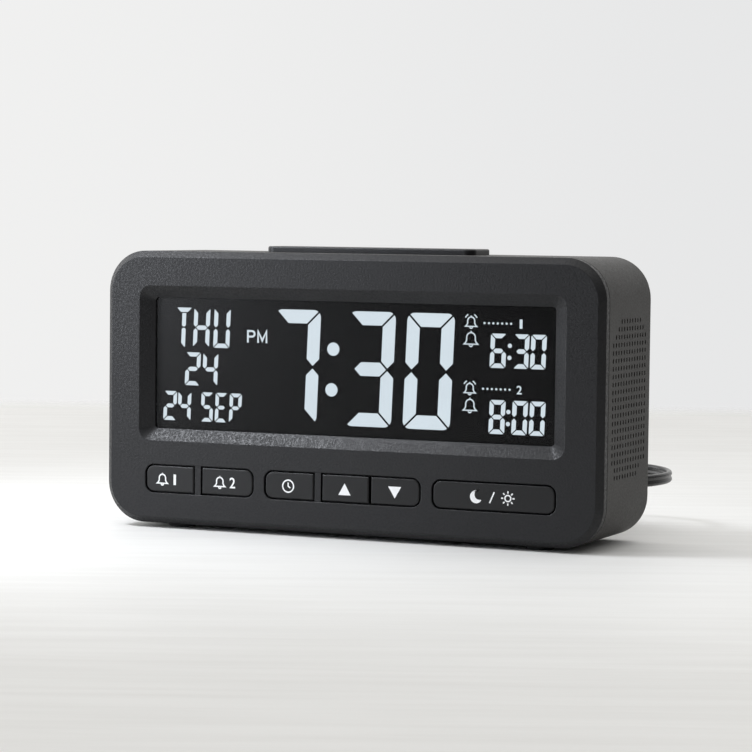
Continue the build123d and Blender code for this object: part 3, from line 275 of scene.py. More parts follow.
# plug's grip: sections from the shell back to the lead, as (x, width, height, corner radius)
gripShape = {
    "middle": (42.0, 3.8),
    "body": (15.0, 7.6, 2.2),
    "front": (
        (-60.0, 13.8, 6.6, 2.0), (-59.8, 14.6, 7.3, 2.2), (-59.4, 15.0, 7.6, 2.2), (-57.2, 15.0, 7.6, 2.2),
    ),
    "ridges": 5,
    "ridgeStart": -56.8,
    "ridgePitch": 1.9,
    "ridgeProfile": ((0.0, 1.4), (0.8, 1.4), (1.1, 0.0), (1.6, 0.0)),  # along, and how much narrower
    "back": (
        (-47.0, 15.0, 7.6, 2.2), (-45.0, 14.6, 7.4, 2.2), (-44.4, 13.4, 7.0, 2.4), (-44.2, 9.0, 6.4, 2.2),
    ),
    "neck": (-43.6, -36.6),
    "neckSize": ((9.0, 6.4), (5.0, 5.0)),  # at its start and end
    "neckCorner": 2.0,
    "neckRibs": 4,
    "neckProfile": ((0.0, 0.0), (0.45, 0.0), (0.6, 0.8), (0.9, 0.8)),  # share of a rib, and how much smaller
    "neckTip": ((0.0, 5.2, 5.0), (0.6, 4.6, 4.6)),  # from the neck's end
}


def makeGrip(shape):
    sections = list(shape["front"])
    width, height, corner = shape["body"]
    for ridge in range(shape["ridges"]):
        start = shape["ridgeStart"] + ridge * shape["ridgePitch"]
        sections += [(start + along, width - cut, height, corner) for along, cut in shape["ridgeProfile"]]
    sections += shape["back"]
    start, end = shape["neck"]
    (wide, tall), (narrow, low) = shape["neckSize"]
    corner = shape["neckCorner"]
    for rib in range(shape["neckRibs"]):
        for share, cut in shape["neckProfile"]:
            along = (rib + share) / shape["neckRibs"]
            width, height = wide + (narrow - wide) * along, tall + (low - tall) * along
            sections.append((start + (end - start) * along, width - cut, height - cut, corner))
    sections += [(end + beyond, width, height, corner) for beyond, width, height in shape["neckTip"]]
    middleY, middleZ = shape["middle"]
    rings = [
        [Vector((x * mm, (middleY + across) * mm, (middleZ + up) * mm))
         for across, up in roundedBox(width, height, min(radius, height / 2 - 0.1, width / 2 - 0.1))]
        for x, width, height, radius in sections
    ]
    points, faces = joinRings(rings)
    return newPiece("plug_ridged_grip", points, faces)


plugGrip = makeGrip(gripShape)


# plug's four contacts, raised on the tongue
contactShape = {
    "across": (-3.5, -1.0, 1.0, 3.5),
    "tips": (-70.6, -69.6, -69.6, -70.6),
    "root": -62.2,
    "width": 1.0,
    "low": 3.65,
    "high": 3.8,
    "bevel": 0.5,
    "raised": 0.8,  # width of the raised face, as a share
}


def makeContacts(shape):
    points, faces = [], []
    root, half = shape["root"], shape["width"] / 2
    for across, tip in zip(shape["across"], shape["tips"]):
        middle = gripShape["middle"][0] + across
        start = len(points)
        foot = (tip, half, shape["low"])
        face = (tip + shape["bevel"], half * shape["raised"], shape["high"])
        for left, reach, z in (foot, face):
            outline = ((left, -reach), (root, -reach), (root, reach), (left, reach))
            points += [Vector((x * mm, (middle + y) * mm, z * mm)) for x, y in outline]
        faces += [(start + 3, start + 2, start + 1, start), (start + 4, start + 5, start + 6, start + 7)]
        for side in range(4):
            after = (side + 1) % 4
            faces.append((start + side, start + after, start + 4 + after, start + 4 + side))
    return newPiece("plug_contacts", points, faces, 10)


plugContacts = makeContacts(contactShape)
print("boot, plug grip and contacts made")


def anticlockwise(outline):
    area = sum(a[0] * b[1] - b[0] * a[1] for a, b in zip(outline, outline[1:] + outline[:1]))
    return outline if area > 0 else outline[::-1]


# flat shapes seen from the front, in millimetres, as thin plates
class Plates:
    def __init__(self, setup):
        self.front, self.back = setup["front"], setup["front"] + setup["thickness"]
        self.points, self.faces = [], []

    def addLoop(self, outline):
        # a simple outline, filled
        outline = anticlockwise(outline)
        start, count = len(self.points), len(outline)
        self.points += [(x, self.front, z) for x, z in outline] + [(x, self.back, z) for x, z in outline]
        self.faces.append(tuple(range(start, start + count)))
        self.faces.append(tuple(range(start + 2 * count - 1, start + count - 1, -1)))
        for side in range(count):
            after = (side + 1) % count
            self.faces.append((start + after, start + side, start + count + side, start + count + after))

    def addStroke(self, line, width, closed=False):
        # a line of even width with mitred corners
        count = len(line)
        left, right = [], []
        for step, point in enumerate(line):
            before = line[step - 1] if step or closed else point
            after = line[(step + 1) % count] if step < count - 1 or closed else point
            runs = []
            for start, end in ((before, point), (point, after)):
                run = Vector((end[0] - start[0], end[1] - start[1]))
                if run.length > 1e-9:
                    runs.append(run.normalized())
            along = sum(runs, Vector((0, 0))).normalized()
            across = Vector((-along.y, along.x))
            square = Vector((-runs[0].y, runs[0].x))
            reach = width / 2 / max(across.dot(square), 0.4)  # so that a sharp corner stays short
            left.append((point[0] + across.x * reach, point[1] + across.y * reach))
            right.append((point[0] - across.x * reach, point[1] - across.y * reach))
        start = len(self.points)
        for depth in (self.front, self.back):
            self.points += [(x, depth, z) for x, z in left] + [(x, depth, z) for x, z in right]
        for step in range(count if closed else count - 1):
            a, b = start + step, start + (step + 1) % count
            c, d = a + count, b + count
            shift = 2 * count
            self.faces += [(c, d, b, a), (a + shift, b + shift, d + shift, c + shift),
                           (a, b, b + shift, a + shift), (d, c, c + shift, d + shift)]
        if not closed:
            for a in (start, start + count - 1):
                cap = (a, a + count, a + 3 * count, a + 2 * count)
                self.faces.append(cap if a == start else cap[::-1])

    def addWord(self, text, box):
        # built-in lettering fitted to a box of (left, right, low, high)
        words = bpy.data.curves.new("word", "FONT")
        words.body = text
        words.extrude = 0.5
        words.offset = 0.012  # a little bolder
        words.resolution_u = 6
        holder = bpy.data.objects.new("word", words)
        mesh = bpy.data.meshes.new_from_object(holder)
        xs = [vertex.co.x for vertex in mesh.vertices]
        ys = [vertex.co.y for vertex in mesh.vertices]
        left, right, low, high = box
        start = len(self.points)
        for vertex in mesh.vertices:
            x = left + (vertex.co.x - min(xs)) / (max(xs) - min(xs)) * (right - left)
            z = low + (vertex.co.y - min(ys)) / (max(ys) - min(ys)) * (high - low)
            self.points.append((x, self.front if vertex.co.z > 0 else self.back, z))
        self.faces += [tuple(start + index for index in face.vertices) for face in mesh.polygons]
        bpy.data.objects.remove(holder)
        bpy.data.meshes.remove(mesh)
        bpy.data.curves.remove(words)

    def addDisc(self, middle, radius, steps=20):
        self.addLoop(ring(middle, radius, steps))

    def slant(self, start, lean, height):
        # leans what has been added since a point about a height
        self.points[start:] = [(x + (z - height) * lean, y, z) for x, y, z in self.points[start:]]

    def make(self, name):
        return newPiece(name, [(x * mm, y * mm, z * mm) for x, y, z in self.points], self.faces, 30)


def clipLoop(subject, cutter):
    # the part of one convex outline inside another, both anticlockwise
    kept = subject
    for start, end in zip(cutter, cutter[1:] + cutter[:1]):
        def inside(point):
            return (end[0] - start[0]) * (point[1] - start[1]) - (end[1] - start[1]) * (point[0] - start[0])
        source, kept = kept, []
        for before, point in zip(source[-1:] + source[:-1], source):
            away, near = inside(before), inside(point)
            if away * near < 0:
                share = away / (away - near)
                kept.append(tuple(a + (b - a) * share for a, b in zip(before, point)))
            if near >= 0:
                kept.append(point)
    return kept


# lit display: a field is (text, left edges of its characters, width, low, high, stroke)
displayFields = {
    "front": -17.16,
    "thickness": 0.05,
    "lean": 0.038,
    "time": ("730", (-27.2, -1.5, 18.3), 15.9, 35.3, 71.3, 4.3),
    "timeDots": ((-6.3, 59.2), (-6.8, 46.4)),
    "timeDot": 2.1,
    "timeEdges": (0.6, 2.5),  # gap between segments, and the character's corner radius
    "smallEdges": (0.34, 0.7),
    "small": (
        ("THU", (-62.3, -55.8, -48.5), 5.8, 58.4, 71.0, 1.4),
        ("24", (-58.7, -52.4), 5.4, 46.1, 56.7, 1.35),
        ("24", (-66.5, -61.3), 4.7, 34.6, 44.0, 1.25),
        ("SEP", (-52.9, -47.8, -42.7), 4.3, 34.6, 44.0, 1.2),
        ("6", (46.6,), 5.2, 55.1, 65.6, 1.4),
        ("30", (54.2, 59.8), 5.0, 55.1, 65.6, 1.4),
        ("8", (46.5,), 5.2, 34.9, 45.3, 1.4),
        ("00", (54.0, 59.7), 5.0, 34.9, 45.3, 1.4),
    ),
    "smallDots": ((53.0, 62.0), (52.9, 58.3), (52.8, 41.8), (52.7, 38.1)),
    "smallDot": 0.68,
    "halfDay": (-36.3, 60.4, 3.7, 0.62),  # left, low, height and line of PM
    "bells": ((40.2, 61.3, 4.9), (40.1, 41.0, 4.7)),
    "ringing": ((40.2, 66.9, 4.0), (40.0, 46.5, 4.0)),
    "bellLine": 0.38,
    "weekDots": ((44.6, 68.7), (44.4, 48.6)),
    "weekDotPitch": 1.45,
    "weekDot": 0.36,
    "alarmNumbers": (("1", (56.1, 57.0, 67.3, 70.1)), ("2", (55.4, 57.1, 47.3, 49.9))),
}
segmentsOf = {
    "0": "abcdef", "1": "bc", "2": "abdeg", "3": "abcdg", "4": "bcfg", "5": "acdfg", "6": "acdefg",
    "7": "abc", "8": "abcdefg", "9": "abcdfg",
    "E": "adefg", "H": "bcefg", "P": "abefg", "S": "acdfg", "U": "bcdef",
}


def segmentLoops(width, height, stroke, gap):
    # the seven segments of one character, standing on (0, 0), before their corners are rounded
    w, h, t, m = width, height, stroke, height / 2
    e = gap / math.sqrt(2)
    reach = (w - t / 2 - e, t / 2 + e)
    return {
        "a": [(e, h), (t + e, h - t), (w - t - e, h - t), (w - e, h)],
        "b": [(w, h - e), (w - t, h - t - e), (w - t, m + t / 2 + e), (w - t / 2, m + e), (w, m + t / 2 + e)],
        "c": [(w, m - t / 2 - e), (w - t / 2, m - e), (w - t, m - t / 2 - e), (w - t, t + e), (w, e)],
        "d": [(e, 0), (w - e, 0), (w - t - e, t), (t + e, t)],
        "e": [(0, e), (t, t + e), (t, m - t / 2 - e), (t / 2, m - e), (0, m - t / 2 - e)],
        "f": [(0, m + t / 2 + e), (t / 2, m + e), (t, m + t / 2 + e), (t, h - t - e), (0, h - e)],
        "g": [(reach[1], m), (t + e, m - t / 2), (w - t - e, m - t / 2), (reach[0], m),
              (w - t - e, m + t / 2), (t + e, m + t / 2)],
    }


def addCharacter(plates, letter, left, low, width, height, stroke, gap, radius):
    # one character of segments, cut to a box with rounded corners
    cutter = [(x + width / 2, z + height / 2) for x, z in roundedBox(width, height, radius, 8)]
    if letter == "T":
        t, h, m, c = stroke, height, height / 2, width / 2
        e = gap / math.sqrt(2)
        loops = [segmentLoops(width, height, stroke, gap)["a"]]
        loops.append([(c - t / 2, h - t - gap), (c - t / 2, m + t / 2), (c - t / 4, m + e),
                      (c + t / 4, m + e), (c + t / 2, m + t / 2), (c + t / 2, h - t - gap)])
        loops.append([(c - t / 2, m - t / 2), (c - t / 2, t * 0.9), (c + t / 3, 0), (c + t / 2, 0.1),
                      (c + t / 2, m - t / 2), (c + t / 4, m - e), (c - t / 4, m - e)])
    else:
        shapes = segmentLoops(width, height, stroke, gap)
        loops = [shapes[segment] for segment in segmentsOf[letter]]
    for loop in loops:
        plates.addLoop([(left + x, low + z) for x, z in clipLoop(anticlockwise(loop), cutter)])


def addBell(plates, middle, low, size, line, ringing=False):
    # an outlined bell with its clapper and loop; size is its height
    def at(x, z):
        return middle + x * size, low + z * size
    waist, shoulder = 0.29, 0.6
    outline = [at(-0.47, 0.17), at(-0.36, 0.27), at(-waist, 0.42), at(-waist, shoulder)]
    outline += [at(x, z) for x, z in arc((0, shoulder), waist, 170, 10, 10)]
    outline += [at(waist, shoulder), at(waist, 0.42), at(0.36, 0.27), at(0.47, 0.17)]
    plates.addStroke(outline, line, closed=True)
    plates.addStroke([at(x, z) for x, z in arc((0, 0.13), 0.11, 190, 350, 8)], line)
    plates.addStroke([at(0, 0.9), at(0, 1.0)], line)
    if ringing:
        for side in (-1, 1):
            bow = arc((0, 0.62), 0.52, 90 - side * 28, 90 - side * 66, 8)
            plates.addStroke([at(x, z) for x, z in bow], line)


def addField(plates, field, lean, edges):
    text, lefts, width, low, high, stroke = field
    start = len(plates.points)
    for letter, left in zip(text, lefts):
        addCharacter(plates, letter, left, low, width, high - low, stroke, *edges)
    plates.slant(start, lean, (low + high) / 2)


def makeTime(fields):
    time = Plates(fields)
    addField(time, fields["time"], fields["lean"], fields["timeEdges"])
    for middle in fields["timeDots"]:
        time.addDisc(middle, fields["timeDot"], 28)
    return time.make("time_digits")


def makeDates(fields):
    dates = Plates(fields)
    for field in fields["small"]:
        addField(dates, field, fields["lean"], fields["smallEdges"])
    for middle in fields["smallDots"]:
        dates.addDisc(middle, fields["smallDot"])
    return dates.make("date_and_alarm_digits")


def makeSigns(fields):
    signs = Plates(fields)
    left, low, height, line = fields["halfDay"]
    letterP = [(0, 0), (0, 1), (0.4, 1)] + arc((0.4, 0.76), 0.24, 90, -90, 8)[1:] + [(0, 0.52)]
    letterM = [(0.98, 0), (0.98, 1), (1.38, 0.2), (1.78, 1), (1.78, 0)]
    for letter in (letterP, letterM):
        signs.addStroke([(left + x * height, low + z * height) for x, z in letter], line)
    for middle, low, size in fields["bells"]:
        addBell(signs, middle, low, size, fields["bellLine"])
    for middle, low, size in fields["ringing"]:
        addBell(signs, middle, low, size, fields["bellLine"], ringing=True)
    for x, z in fields["weekDots"]:
        for day in range(7):
            signs.addDisc((x + day * fields["weekDotPitch"], z), fields["weekDot"], 12)
    for number, box in fields["alarmNumbers"]:
        signs.addWord(number, box)
    return signs.make("display_signs")


displayPieces = [makeTime(displayFields), makeDates(displayFields), makeSigns(displayFields)]
print("display segments made")


# print on the keys: plain signs, just proud of each key's face
keyPrint = {
    "front": -21.925,
    "thickness": 0.03,
    "line": 0.44,
    "row": 15.85,  # height of the signs' middle
    "alarms": (("alarm_1", -62.0, "1", 0.45), ("alarm_2", -41.25, "2", 1.0)),  # with half of each number's width
    "bell": (-2.2, 4.0),  # where from the sign's middle, and height
    "number": (2.3, 3.4),
    "mode": -19.25,
    "dial": 1.904,
    "hands": ((0.0, 0.6), (0.0, 0.0), (0.42, -0.3)),  # as shares of the dial
    "up": ((0.3, 17.7), (-1.8, 14.0), (2.4, 14.0)),
    "down": ((17.4, 13.9), (19.55, 17.55), (15.15, 17.55)),
    "snoozeLight": 49.7,
    "apart": 5.2,  # moon and sun, from the middle
    "moon": 2.0,
    "bite": (1.09, 0.71, 1.62),  # taken out of the moon: across, up, radius
    "slash": (0.75, 1.7),
    "sun": 0.95,
    "rays": (1.5, 2.2),
}


def addMoonAndSun(sign, prints):
    middle, row, line = prints["snoozeLight"], prints["row"], prints["line"]
    moon, sun = middle - prints["apart"], middle + prints["apart"]
    across, up, radius = prints["bite"]
    crescent = arc((moon, row), prints["moon"], 62, 328, 22)  # the angles are where the two circles meet
    crescent += arc((moon + across, row + up), radius, 298, 92, 16)[1:-1]
    sign.addLoop(crescent)
    across, up = prints["slash"]
    sign.addStroke([(middle - across, row - up), (middle + across, row + up)], line)
    sign.addStroke(ring((sun, row), prints["sun"]), line, closed=True)
    for ray in range(8):
        near, far = (arc((sun, row), reach, 45 * ray, 45 * ray + 1, 1)[0] for reach in prints["rays"])
        sign.addStroke([near, far], line)


def makeKeyPrint(prints):
    made = {}
    line, row = prints["line"], prints["row"]
    for key, middle, number, half in prints["alarms"]:
        sign = Plates(prints)
        across, height = prints["bell"]
        addBell(sign, middle + across, row - height / 2, height, line)
        across, height = prints["number"]
        across += middle
        sign.addWord(number, (across - half, across + half, row - height / 2, row + height / 2))
        made[key] = sign.make(f"{key}_sign")
    sign = Plates(prints)
    middle, radius = prints["mode"], prints["dial"]
    sign.addStroke(ring((middle, row), radius), line, closed=True)
    sign.addStroke([(middle + x * radius, row + z * radius) for x, z in prints["hands"]], line)
    made["mode"] = sign.make("mode_sign")
    for key in ("up", "down"):
        sign = Plates(prints)
        sign.addLoop(list(prints[key]))
        made[key] = sign.make(f"{key}_sign")
    sign = Plates(prints)
    addMoonAndSun(sign, prints)
    made["snooze_light"] = sign.make("snooze_light_sign")
    return made


keySigns = makeKeyPrint(keyPrint)


# polarity marks raised on the battery bay's floor, and an arrow on its door
bayMarks = {
    "front": 6.98,
    "thickness": 0.14,
    "cells": ((41.3, -1), (51.9, 1)),  # height, and the side of its plus end
    "middle": -36.0,
    "reach": 14.0,
    "size": 1.5,
    "line": 0.5,
}
doorMark = {
    "front": 21.98,
    "thickness": 0.14,
    "tip": (-36.0, 51.0),
    "half": 2.2,
    "drop": 1.9,
    "pitch": 1.6,
    "line": 0.6,
}


def makeBayMarks(marks):
    signs = Plates(marks)
    size = marks["size"]
    for z, side in marks["cells"]:
        for end, plus in ((side, True), (-side, False)):
            x = marks["middle"] + end * marks["reach"]
            signs.addStroke([(x - size, z), (x + size, z)], marks["line"])
            if plus:
                for way in (-1, 1):
                    signs.addStroke([(x, z + way * marks["line"] / 2), (x, z + way * size)], marks["line"])
    return signs.make("bay_polarity_marks")


def makeDoorMark(mark):
    sign = Plates(mark)
    x, z = mark["tip"]
    half, drop = mark["half"], mark["drop"]
    for step in range(2):
        low = z - step * mark["pitch"]
        sign.addStroke([(x - half, low - drop), (x, low), (x + half, low - drop)], mark["line"])
    return sign.make("door_arrow")


bayPiece = makeBayMarks(bayMarks)
doorPiece = makeDoorMark(doorMark)
print("signs made")


# node helpers
def operator(operation, reflected=False):
    # a Python operator that adds a Math node
    def calculate(self, other):
        return self.sum(operation, other, self) if reflected else self.sum(operation, self, other)
    return calculate


class Signal:
    # one socket, which can be calculated with
    def __init__(self, desk, socket):
        self.desk, self.socket = desk, socket

    def sum(self, operation, *values):
        return self.desk.add("ShaderNodeMath", {"operation": operation}, list(values))

    __add__, __radd__ = operator("ADD"), operator("ADD", True)
    __sub__, __rsub__ = operator("SUBTRACT"), operator("SUBTRACT", True)
    __mul__, __rmul__ = operator("MULTIPLY"), operator("MULTIPLY", True)
    __pow__, __mod__ = operator("POWER"), operator("FLOORED_MODULO")
    __gt__, __lt__ = operator("GREATER_THAN"), operator("LESS_THAN")

    def above(self, other):
        # the larger of the two
        return self.sum("MAXIMUM", self, other)

    def wave(self):
        # sine of an angle in radians, brought between 0 and 1
        return (self.sum("SINE", self) + 1) * 0.5

    def fade(self, low, high):
        # 0 at low to 1 at high, eased
        return self.desk.add("ShaderNodeMapRange", {"interpolation_type": "SMOOTHSTEP"},
                             {"Value": self, "From Min": low, "From Max": high})


class Desk:
    # a node tree and the ways to add to it
    def __init__(self, tree):
        self.tree = tree
        tree.nodes.clear()

    def add(self, kind, settings=None, sockets=None, output=0):
        node = self.tree.nodes.new(kind)
        for key, value in (settings or {}).items():
            setattr(node, key, value)
        if isinstance(sockets, list):
            sockets = dict(enumerate(sockets))
        for key, value in (sockets or {}).items():
            if isinstance(value, Signal):
                self.tree.links.new(value.socket, node.inputs[key])
            else:
                node.inputs[key].default_value = value
        return Signal(self, node.outputs[output]) if node.outputs else None

    def mix(self, factor, first, second):
        first, second = (value if isinstance(value, Signal) else (*value, 1) for value in (first, second))
        return self.add("ShaderNodeMix", {"data_type": "RGBA"}, {0: factor, 6: first, 7: second}, 2)

    def noise(self, scale, detail=2.0, rough=0.5, place=None):
        return self.add("ShaderNodeTexNoise", {}, {"Vector": place or self.place, "Scale": scale,
                                                   "Detail": detail, "Roughness": rough})

    def stretched(self, scale):
        # the place, scaled along each axis
        return self.add("ShaderNodeVectorMath", {"operation": "MULTIPLY"}, [self.place, scale])

    def along(self, direction):
        # how far the place lies along a direction, in metres
        return self.add("ShaderNodeVectorMath", {"operation": "DOT_PRODUCT"}, [self.place, direction], 1)


class Paint(Desk):
    # a material for this clock, with its place in the clock's frame at hand
    def __init__(self, name):
        self.material = bpy.data.materials.new(name)
        self.material.use_nodes = True
        super().__init__(self.material.node_tree)
        self.place = self.add("ShaderNodeTexCoord", output="Object")

    def shader(self, sockets, height=None, depth=0.0, edge=0.0):
        # one shader, with a bumped height and softened edges
        sockets = dict(sockets)
        colour = sockets["Base Color"]
        if not isinstance(colour, Signal):
            sockets["Base Color"] = (*colour, 1)
        if edge:
            sockets["Normal"] = self.add("ShaderNodeBevel", {"samples": 4}, {"Radius": edge})
        if height is not None:
            bumps = {"Strength": 1.0, "Distance": depth, "Height": height}
            if edge:
                bumps["Normal"] = sockets["Normal"]
            sockets["Normal"] = self.add("ShaderNodeBump", {}, bumps)
        return self.add("ShaderNodeBsdfPrincipled", {}, sockets)

    def finish(self, shader):
        self.add("ShaderNodeOutputMaterial", {}, {"Surface": shader})
        return self.material

    def coat(self, *look):
        return self.finish(self.shader(*look))


def tint(colour, share):
    return [value * share for value in colour]


def mouldedPlastic(name, colour, rough, grain=2600, depth=0.00001, edge=0.0002, sheen=1.0, sparkle=0.0):
    # spark-eroded texture: a fine grain, with slow changes in gloss from handling
    paint = Paint(name)
    fine = paint.noise(grain, 3.0, 0.6)
    slow = paint.noise(38, 2.0)
    wear = paint.noise(210, 3.0)
    shade = paint.mix(fine * 0.7 + slow * 0.3, tint(colour, 0.86), tint(colour, 1.16))
    gloss = rough + (slow - 0.5) * 0.08 + (wear - 0.5) * 0.05
    if sparkle:  # each grain's own glint
        gloss = gloss + (fine.fade(0.36, 0.64) - 0.5) * sparkle
    sockets = {"Base Color": shade, "Roughness": gloss, "Specular IOR Level": 0.5 * sheen}
    return paint.coat(sockets, fine, depth, edge)


def platedMetal(name, colour, rough, brush=(1, 1, 1), scale=900, spots=0.12):
    # metal with fine marks, drawn out where the brush's axis is small
    paint = Paint(name)
    marks = paint.noise(scale, 4.0, 0.6, paint.stretched(brush))
    dull = paint.noise(160, 3.0)
    shade = paint.mix(dull, tint(colour, 1 - spots), colour)
    return paint.coat({"Base Color": shade, "Metallic": 1.0,
                       "Roughness": rough + (marks - 0.5) * 0.2 + (dull - 0.5) * 0.1},
                      marks, 0.000004, 0.00008)


def softRubber(name, colour, rough, grain=1500, depth=0.00002):
    # matt rubber with dust caught in its grain
    paint = Paint(name)
    fine = paint.noise(grain, 4.0, 0.65)
    dust = paint.noise(90, 3.0).fade(0.5, 0.8)
    shade = paint.mix(dust * 0.35, colour, [value * 2.2 + 0.01 for value in colour])
    return paint.coat({"Base Color": shade, "Roughness": rough + (fine - 0.5) * 0.12}, fine, depth, 0.0002)


def glossyJacket(name, colour, rough=0.28):
    # drawn PVC: long faint ripples and a light bloom
    paint = Paint(name)
    ripple = paint.noise(420, 2.0)
    bloom = paint.noise(55, 3.0)
    shade = paint.mix(bloom, colour, tint(colour, 1.7))
    return paint.coat({"Base Color": shade, "Roughness": rough + (bloom - 0.5) * 0.14}, ripple, 0.00002)


screenLook = {
    "sheet": (0.001, 0.0011, 0.0013),
    "sheetRough": 0.33,
    "sheetAlpha": 0.44,
    "panel": ((0.0013, 0.0015, 0.0019), (0.0021, 0.0024, 0.0029)),
    "panelRough": 0.38,
    "gloss": 0.3,
    "glow": ((0.66, 0.76, 0.83), (0.74, 0.83, 0.89)),
    "glowStrength": 3.1,
}


def clearWindow(name, look):
    # clear sheet: half see-through, with a faint haze and its own reflection
    paint = Paint(name)
    haze = paint.noise(60, 3.0)
    return paint.coat({
        "Base Color": look["sheet"],
        "Roughness": look["sheetRough"] + (haze - 0.5) * 0.06,
        "Alpha": look["sheetAlpha"] + haze * 0.04,
        "Specular IOR Level": look["gloss"],
    })


def displayGlass(name, look):
    # dark display with faint clouds in its film
    paint = Paint(name)
    cloud = paint.noise(26, 2.0)
    return paint.coat({
        "Base Color": paint.mix(cloud, *look["panel"]),
        "Roughness": look["panelRough"] + (cloud - 0.5) * 0.06,
        "Specular IOR Level": look["gloss"],
    })


def litSegment(name, look):
    # lit through the panel: a little brighter in patches over the lamps
    paint = Paint(name)
    return paint.coat({
        "Base Color": (0.1, 0.11, 0.12),
        "Roughness": 0.6,
        "Emission Color": paint.mix(paint.noise(30, 1.0), *look["glow"]),
        "Emission Strength": look["glowStrength"],
    })


def printedInk(name, colour):
    # screen-printed white, thin in places
    paint = Paint(name)
    thin = paint.noise(2200, 3.0)
    shade = paint.mix(thin, tint(colour, 0.88), colour)
    return paint.coat({"Base Color": shade, "Roughness": 0.55 + (thin - 0.5) * 0.1}, thin, 0.000006)


def circuitBoard(name):
    # solder mask over copper tracks, with tinned pads
    paint = Paint(name)
    cells = paint.add("ShaderNodeTexVoronoi", {"feature": "F1", "distance": "CHEBYCHEV"},
                      {"Vector": paint.place, "Scale": 170.0})
    tracks = (cells * 9 % 1).fade(0.42, 0.5)
    pads = cells < 0.07
    mask = paint.mix(tracks, (0.012, 0.085, 0.036), (0.028, 0.15, 0.062))
    shade = paint.mix(pads, mask, (0.72, 0.71, 0.66))
    return paint.coat({"Base Color": shade, "Metallic": pads, "Roughness": 0.32 + pads * 0.08},
                      tracks, 0.00003, 0.0001)


def wovenMesh(name, turning):
    # fine black dust mesh, with its threads along the side's depth and height
    paint = Paint(name)
    weave = (paint.along((0, 1, 0)) * turning).wave() * (paint.along((0, 0, 1)) * turning).wave()
    shade = paint.mix(weave, (0.002, 0.002, 0.002), (0.012, 0.012, 0.012))
    sockets = {"Base Color": shade, "Roughness": 0.8 + weave * 0.1, "Specular IOR Level": 0.1}
    return paint.coat(sockets, weave, 0.00006)


def coneFilm(name, middle, turning):
    # pressed film with rings round the cone's axis
    paint = Paint(name)
    flat = paint.stretched((0, 1, 1))
    away = paint.add("ShaderNodeVectorMath", {"operation": "DISTANCE"}, [flat, middle], 1)
    rings = (away * turning).wave()
    shade = paint.mix(rings, (0.05, 0.05, 0.045), (0.09, 0.088, 0.08))
    return paint.coat({"Base Color": shade, "Roughness": 0.35 + rings * 0.1}, rings, 0.00005)


def woundCopper(name, turning):
    # enamelled wire laid in turns along the coil's axis
    paint = Paint(name)
    turns = (paint.along((1, 0, 0)) * turning).wave()
    shade = paint.mix(turns, (0.34, 0.13, 0.06), (0.72, 0.36, 0.2))
    return paint.coat({"Base Color": shade, "Metallic": 1.0, "Roughness": 0.26 + turns * 0.1}, turns, 0.00008)


def bandedPart(name, axis, edges, colours, rough, metals=(0, 0), scale=600):
    # a body whose colour changes where it passes each edge along an axis
    paint = Paint(name)
    along = paint.along(axis)
    grain = paint.noise(scale, 3.0)
    shade = paint.mix(grain, tint(colours[0], 0.85), colours[0])
    metal = metals[0]
    for edge, colour, shine in zip(edges, colours[1:], metals[1:]):
        past = along > edge
        shade = paint.mix(past, shade, colour)
        if any(metals):
            metal = metal * (1 - past) + past * shine
    return paint.coat({"Base Color": shade, "Metallic": metal,
                       "Roughness": rough + (grain - 0.5) * 0.12}, grain, 0.000008, 0.00015)


cellLook = {
    "middle": -0.036,
    "between": 0.0466,  # height between the two
    "capFrom": 0.0135,  # from the middle
    "body": (0.105, 0.115, 0.135),
    "cap": (0.62, 0.3, 0.16),
}


def cellSleeve(name, look):
    # two cells lying opposite ways, each with a coppery band at its plus end
    paint = Paint(name)
    scuffs = paint.noise(500, 3.0)
    way = (paint.along((0, 0, 1)) > look["between"]) * 2 - 1
    capped = (paint.along((1, 0, 0)) - look["middle"]) * way > look["capFrom"]
    body = paint.mix(scuffs, look["body"], tint(look["body"], 1.25))
    shade = paint.mix(capped, body, look["cap"])
    return paint.coat({"Base Color": shade, "Metallic": capped * 0.8,
                       "Roughness": 0.3 + (scuffs - 0.5) * 0.12}, scuffs, 0.000006, 0.00015)


def dottedGuide(name):
    # frosted light guide with its printed dots
    paint = Paint(name)
    dots = paint.add("ShaderNodeTexVoronoi", {}, {"Vector": paint.place, "Scale": 900.0, "Randomness": 0.0})
    dot = dots.fade(0.34, 0.26)
    shade = paint.mix(dot, (0.78, 0.83, 0.86), (0.95, 0.96, 0.97))
    return paint.coat({"Base Color": shade, "Roughness": 0.3 + dot * 0.4}, dot, 0.00003, 0.0001)


def foamTape(name):
    # open foam, paler along the walls of its cells
    paint = Paint(name)
    cells = paint.add("ShaderNodeTexVoronoi", {"feature": "DISTANCE_TO_EDGE"},
                      {"Vector": paint.place, "Scale": 2600.0})
    shade = paint.mix(cells.fade(0.0, 0.3), (0.03, 0.03, 0.03), (0.008, 0.008, 0.008))
    return paint.coat({"Base Color": shade, "Roughness": 0.85 + cells * 0.1}, cells, 0.00006)


